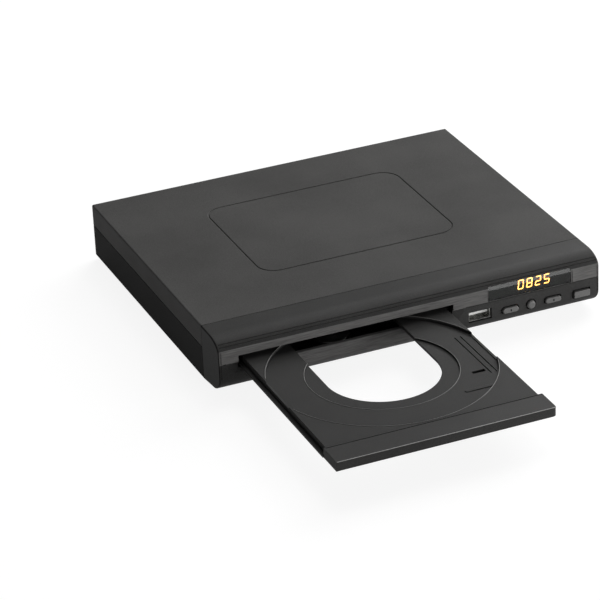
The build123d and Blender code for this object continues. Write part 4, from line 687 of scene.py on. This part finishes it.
def seven_bars(name, number, names, thickness, relief, material):
    """One slanted figure, its lit bars joined into a single piece."""
    left_by = number - (len(lit) - 1) / 2
    bars = []
    for bar_name in names:
        across_by, up_by, standing = bar_places[bar_name]
        size = figure_height / 2 if standing else figure_width
        plate = pointed_bar(size - bar_gap, thickness, relief)
        if not standing:
            plate.data.transform(Matrix.Rotation(math.pi / 2, 4, "Z"))
        plate.data.transform(Matrix.Rotation(math.pi / 2, 4, "X"))
        centre_x = figures_middle + left_by * figure_pitch + across_by * figure_width / 2
        centre_z = figures_height + up_by * figure_height / 2
        plate.data.transform(Matrix.Translation((centre_x, display_low[1], centre_z)))
        for vertex in plate.data.vertices:
            vertex.co.x += figure_lean * (vertex.co.z - figures_height)
        bars.append(plate)
    for plate in bars:
        plate.select_set(True)
    bpy.context.view_layer.objects.active = bars[0]
    bpy.ops.object.join()
    figure = bpy.context.object
    figure.name = name
    figure.data.materials.append(material)
    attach(figure, "player")
    figure.select_set(False)


for number, names in enumerate(lit):
    seven_bars(f"figure_{number + 1}", number, names, bar_thickness, bar_relief, amber)
    seven_bars(f"figure_glow_{number + 1}", number, names, glow_thickness, glow_relief, halo)

# ---------------------------------------------------------------- data and video sockets
# Tinned sheet-steel shells stand round the data, video and digital sockets. The tongues
# inside carry rows of thin tinned springs, and the front one is white.
tin = steel("tin_plate", (0.62, 0.62, 0.60), roughness=0.25, streak=0.3 * MM, along="y")
dress(tin, "usb_shell", "hdmi_socket", "scart_socket")
tongue_white = moulded(
    "tongue_white", (0.80, 0.80, 0.78),
    roughness=0.35, grain=0.3 * MM, relief=0.1, edge=0.15 * MM, shine=0.4,
)
dress(tongue_white, "usb_tongue")
contact_thickness = 0.15 * MM
contact_length = 6.0 * MM
usb_contact_places = (-3.5 * MM, -1.0 * MM, 1.0 * MM, 3.5 * MM)
usb_contact_width = 1.0 * MM
usb_contact_front = 0.5 * MM  # both from the front of the tongue
usb_contact_back = 6.0 * MM


def contact(name, x, front, back, top, width):
    """A thin spring strip along a socket's tongue, its edges broken."""
    bpy.ops.mesh.primitive_plane_add(size=1, location=(x, (front + back) / 2, top))
    strip = bpy.context.object
    strip.name = name
    strip.scale = (width, back - front, 1)
    bpy.ops.object.transform_apply(location=True, rotation=True, scale=True)
    bpy.ops.object.mode_set(mode="EDIT")
    thicken((0, 0, -contact_thickness))
    bpy.ops.mesh.bevel(offset=contact_thickness / 3, segments=2)
    bpy.ops.object.mode_set(mode="OBJECT")
    strip.data.materials.append(tin)
    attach(strip, "player")
    strip.select_set(False)


def contact_row(name, socket, count, pitch, width, tongue_half, mouth, side):
    """Spring strips along the upper or lower face of a rear socket's tongue."""
    low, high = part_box(socket)
    middle_x = (low[0] + high[0]) / 2
    face = (low[2] + high[2]) / 2 + side * tongue_half
    top = face + contact_thickness if side > 0 else face
    back = high[1] - mouth
    for number in range(count):
        x = middle_x + (number - (count - 1) / 2) * pitch
        contact(f"{name}_{number + 1}", x, back - contact_length, back, top, width)


tongue_low, tongue_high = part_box("usb_tongue")
shell_low, shell_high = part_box("usb_shell")
usb_middle = (tongue_low[0] + tongue_high[0]) / 2
usb_under = (shell_low[2] + shell_high[2]) / 2
for number, place in enumerate(usb_contact_places):
    contact(
        f"usb_contact_{number + 1}", usb_middle + place, tongue_low[1] + usb_contact_front,
        tongue_low[1] + usb_contact_back, usb_under, usb_contact_width,
    )
contact_row(
    "hdmi_contact", "hdmi_socket", count=10, pitch=1.05 * MM, width=0.5 * MM,
    tongue_half=0.6 * MM, mouth=1.1 * MM, side=1,
)
for row, side in (("top", 1), ("foot", -1)):
    contact_row(
        f"video_contact_{row}", "scart_socket", count=10, pitch=3.8 * MM, width=1.6 * MM,
        tongue_half=3.0 * MM, mouth=2.8 * MM, side=side,
    )

# ---------------------------------------------------------------- jacks and mains inlet
# Turned jack sleeves plated with nickel, each round a coloured insulator, and two brass
# pins in the mains inlet.
nickel = steel("nickel_plate", (0.74, 0.71, 0.64), roughness=0.2, streak=0.3 * MM, along="y")
dress(nickel, "jack_sleeves")
brass = steel("pin_brass", (0.72, 0.60, 0.34), roughness=0.26, streak=0.2 * MM, along="y")
dress(brass, "inlet_pins")
insulators = (
    ("yellow_insulator", (0.68, 0.47, 0.02), "video_jack_core"),
    ("white_insulator", (0.66, 0.66, 0.63), "left_jack_core"),
    ("red_insulator", (0.46, 0.02, 0.02), "right_jack_core"),
)
for finish, colour, core in insulators:
    dress(moulded(finish, colour, roughness=0.4, grain=0.4 * MM, relief=0.2, edge=0.2 * MM), core)

# ---------------------------------------------------------------- rear panel
# A flat panel closes the back round the sockets. It has a satin black paint with a
# slight orange peel.
panel_paint = moulded(
    "panel_paint", (0.024, 0.024, 0.025), roughness=0.48, grain=0.6 * MM, relief=0.5, edge=0.2 * MM
)
dress(panel_paint, "rear_panel")

# ---------------------------------------------------------------- cover
# The lid is moulded in charcoal plastic with an even matt texture. A fine groove with
# round corners runs round the panel in the middle of its top.
cover_skin = moulded(
    "cover_skin", (0.086, 0.0848, 0.083),
    roughness=0.55, grain=0.45 * MM, relief=0.45, edge=0.25 * MM, shine=0.06,
)
dress(cover_skin, "top_cover")

# ---------------------------------------------------------------- floor
# A plain white sweep. Seen directly, in a gloss or through a window it glows white and
# keeps a faint shadow, and otherwise it is pale grey paper.
paper_glow = 0.88
paper_grey = 0.55
glowing_grey = 0.22
gloss_share = 0.4
bpy.ops.mesh.primitive_plane_add(size=12, location=(0, 0, 0))
floor = bpy.context.object
floor.name = "floor"
floor_paper, paper_nodes, paper_links, paper = blank("floor_paper")
paper.inputs["Roughness"].default_value = 0.9
paper.inputs["Specular IOR Level"].default_value = 0
paper.inputs["Emission Color"].default_value = (1, 1, 1, 1)
seen = paper_nodes.new("ShaderNodeLightPath")
seen_or_mirrored = paper_nodes.new("ShaderNodeMath")
seen_or_mirrored.operation = "MULTIPLY_ADD"
seen_or_mirrored.inputs[1].default_value = gloss_share
paper_links.new(seen.outputs["Is Glossy Ray"], seen_or_mirrored.inputs[0])
paper_links.new(seen.outputs["Is Camera Ray"], seen_or_mirrored.inputs[2])
white = combine(
    paper_nodes, paper_links, "MAXIMUM",
    seen_or_mirrored.outputs["Value"], seen.outputs["Is Transmission Ray"],
)
glow = spread(paper_nodes, paper_links, white, 0, paper_glow)
paper_links.new(glow, paper.inputs["Emission Strength"])
grey = spread(paper_nodes, paper_links, white, paper_grey, glowing_grey)
paper_links.new(grey, paper.inputs["Base Color"])
floor.data.materials.append(floor_paper)

# ---------------------------------------------------------------- sky and lamps
# A weak even sky, white where it is seen directly. A large soft lamp behind to the right
# and one overhead light the top, and two weak ones fill the front.
sky_strength = 0.09
world = bpy.data.worlds.new("studio")
bpy.context.scene.world = world
world.use_nodes = True
sky_nodes = world.node_tree.nodes
sky_links = world.node_tree.links
sky = sky_nodes["Background"]
sky.inputs["Color"].default_value = (1, 1, 1, 1)
sky_seen = sky_nodes.new("ShaderNodeLightPath").outputs["Is Camera Ray"]
sky_links.new(spread(sky_nodes, sky_links, sky_seen, sky_strength, 1), sky.inputs["Strength"])


def softbox(name, place, aim, size, power):
    """A large soft lamp looking at a point."""
    data = bpy.data.lights.new(name, "AREA")
    data.shape = "RECTANGLE"
    data.size, data.size_y = size
    data.energy = power
    lamp = bpy.data.objects.new(name, data)
    bpy.context.scene.collection.objects.link(lamp)
    lamp.location = place
    lamp.visible_camera = False
    lamp.rotation_euler = (Vector(aim) - Vector(place)).to_track_quat("-Z", "Y").to_euler()


softbox("back_window", place=(1.9, 1.5, 1.4), aim=(0, 0, 0), size=(2.0, 1.2), power=45)
softbox("overhead", place=(0.5, 0.6, 1.7), aim=(0, 0, 0), size=(1.2, 1.0), power=10.5)
softbox("front_fill", place=(0.62, -0.45, 0.12), aim=(0, -0.04, 0.015), size=(0.3, 0.2), power=2.2)
softbox("front_low", place=(0.25, -1.2, 0.2), aim=(0, -0.04, 0.01), size=(1.0, 0.36), power=3.6)

# ---------------------------------------------------------------- camera
# The camera looks down on the player from its front left, through a long lens. Its place,
# aim and roll come from a fit to the straight edges of the case.
target = Vector((-25.30, 59.16, -4.67)) * MM
roll = math.radians(-2.737)
camera_data = bpy.data.cameras.new("camera")
camera = bpy.data.objects.new("camera", camera_data)
bpy.context.scene.collection.objects.link(camera)
camera_data.lens = 186.8
camera_data.sensor_width = 36
camera_data.clip_end = 20
camera.location = Vector((-610.93, -1392.56, 789.62)) * MM
forward = (target - camera.location).normalized()
right = forward.cross(Vector((0, 0, 1))).normalized()
up = right.cross(forward)
turned_right = right * math.cos(roll) + up * math.sin(roll)
turned_up = up * math.cos(roll) - right * math.sin(roll)
camera.rotation_euler = Matrix((turned_right, turned_up, -forward)).transposed().to_euler()
bpy.context.scene.camera = camera
bpy.context.scene.view_settings.view_transform = "Standard"
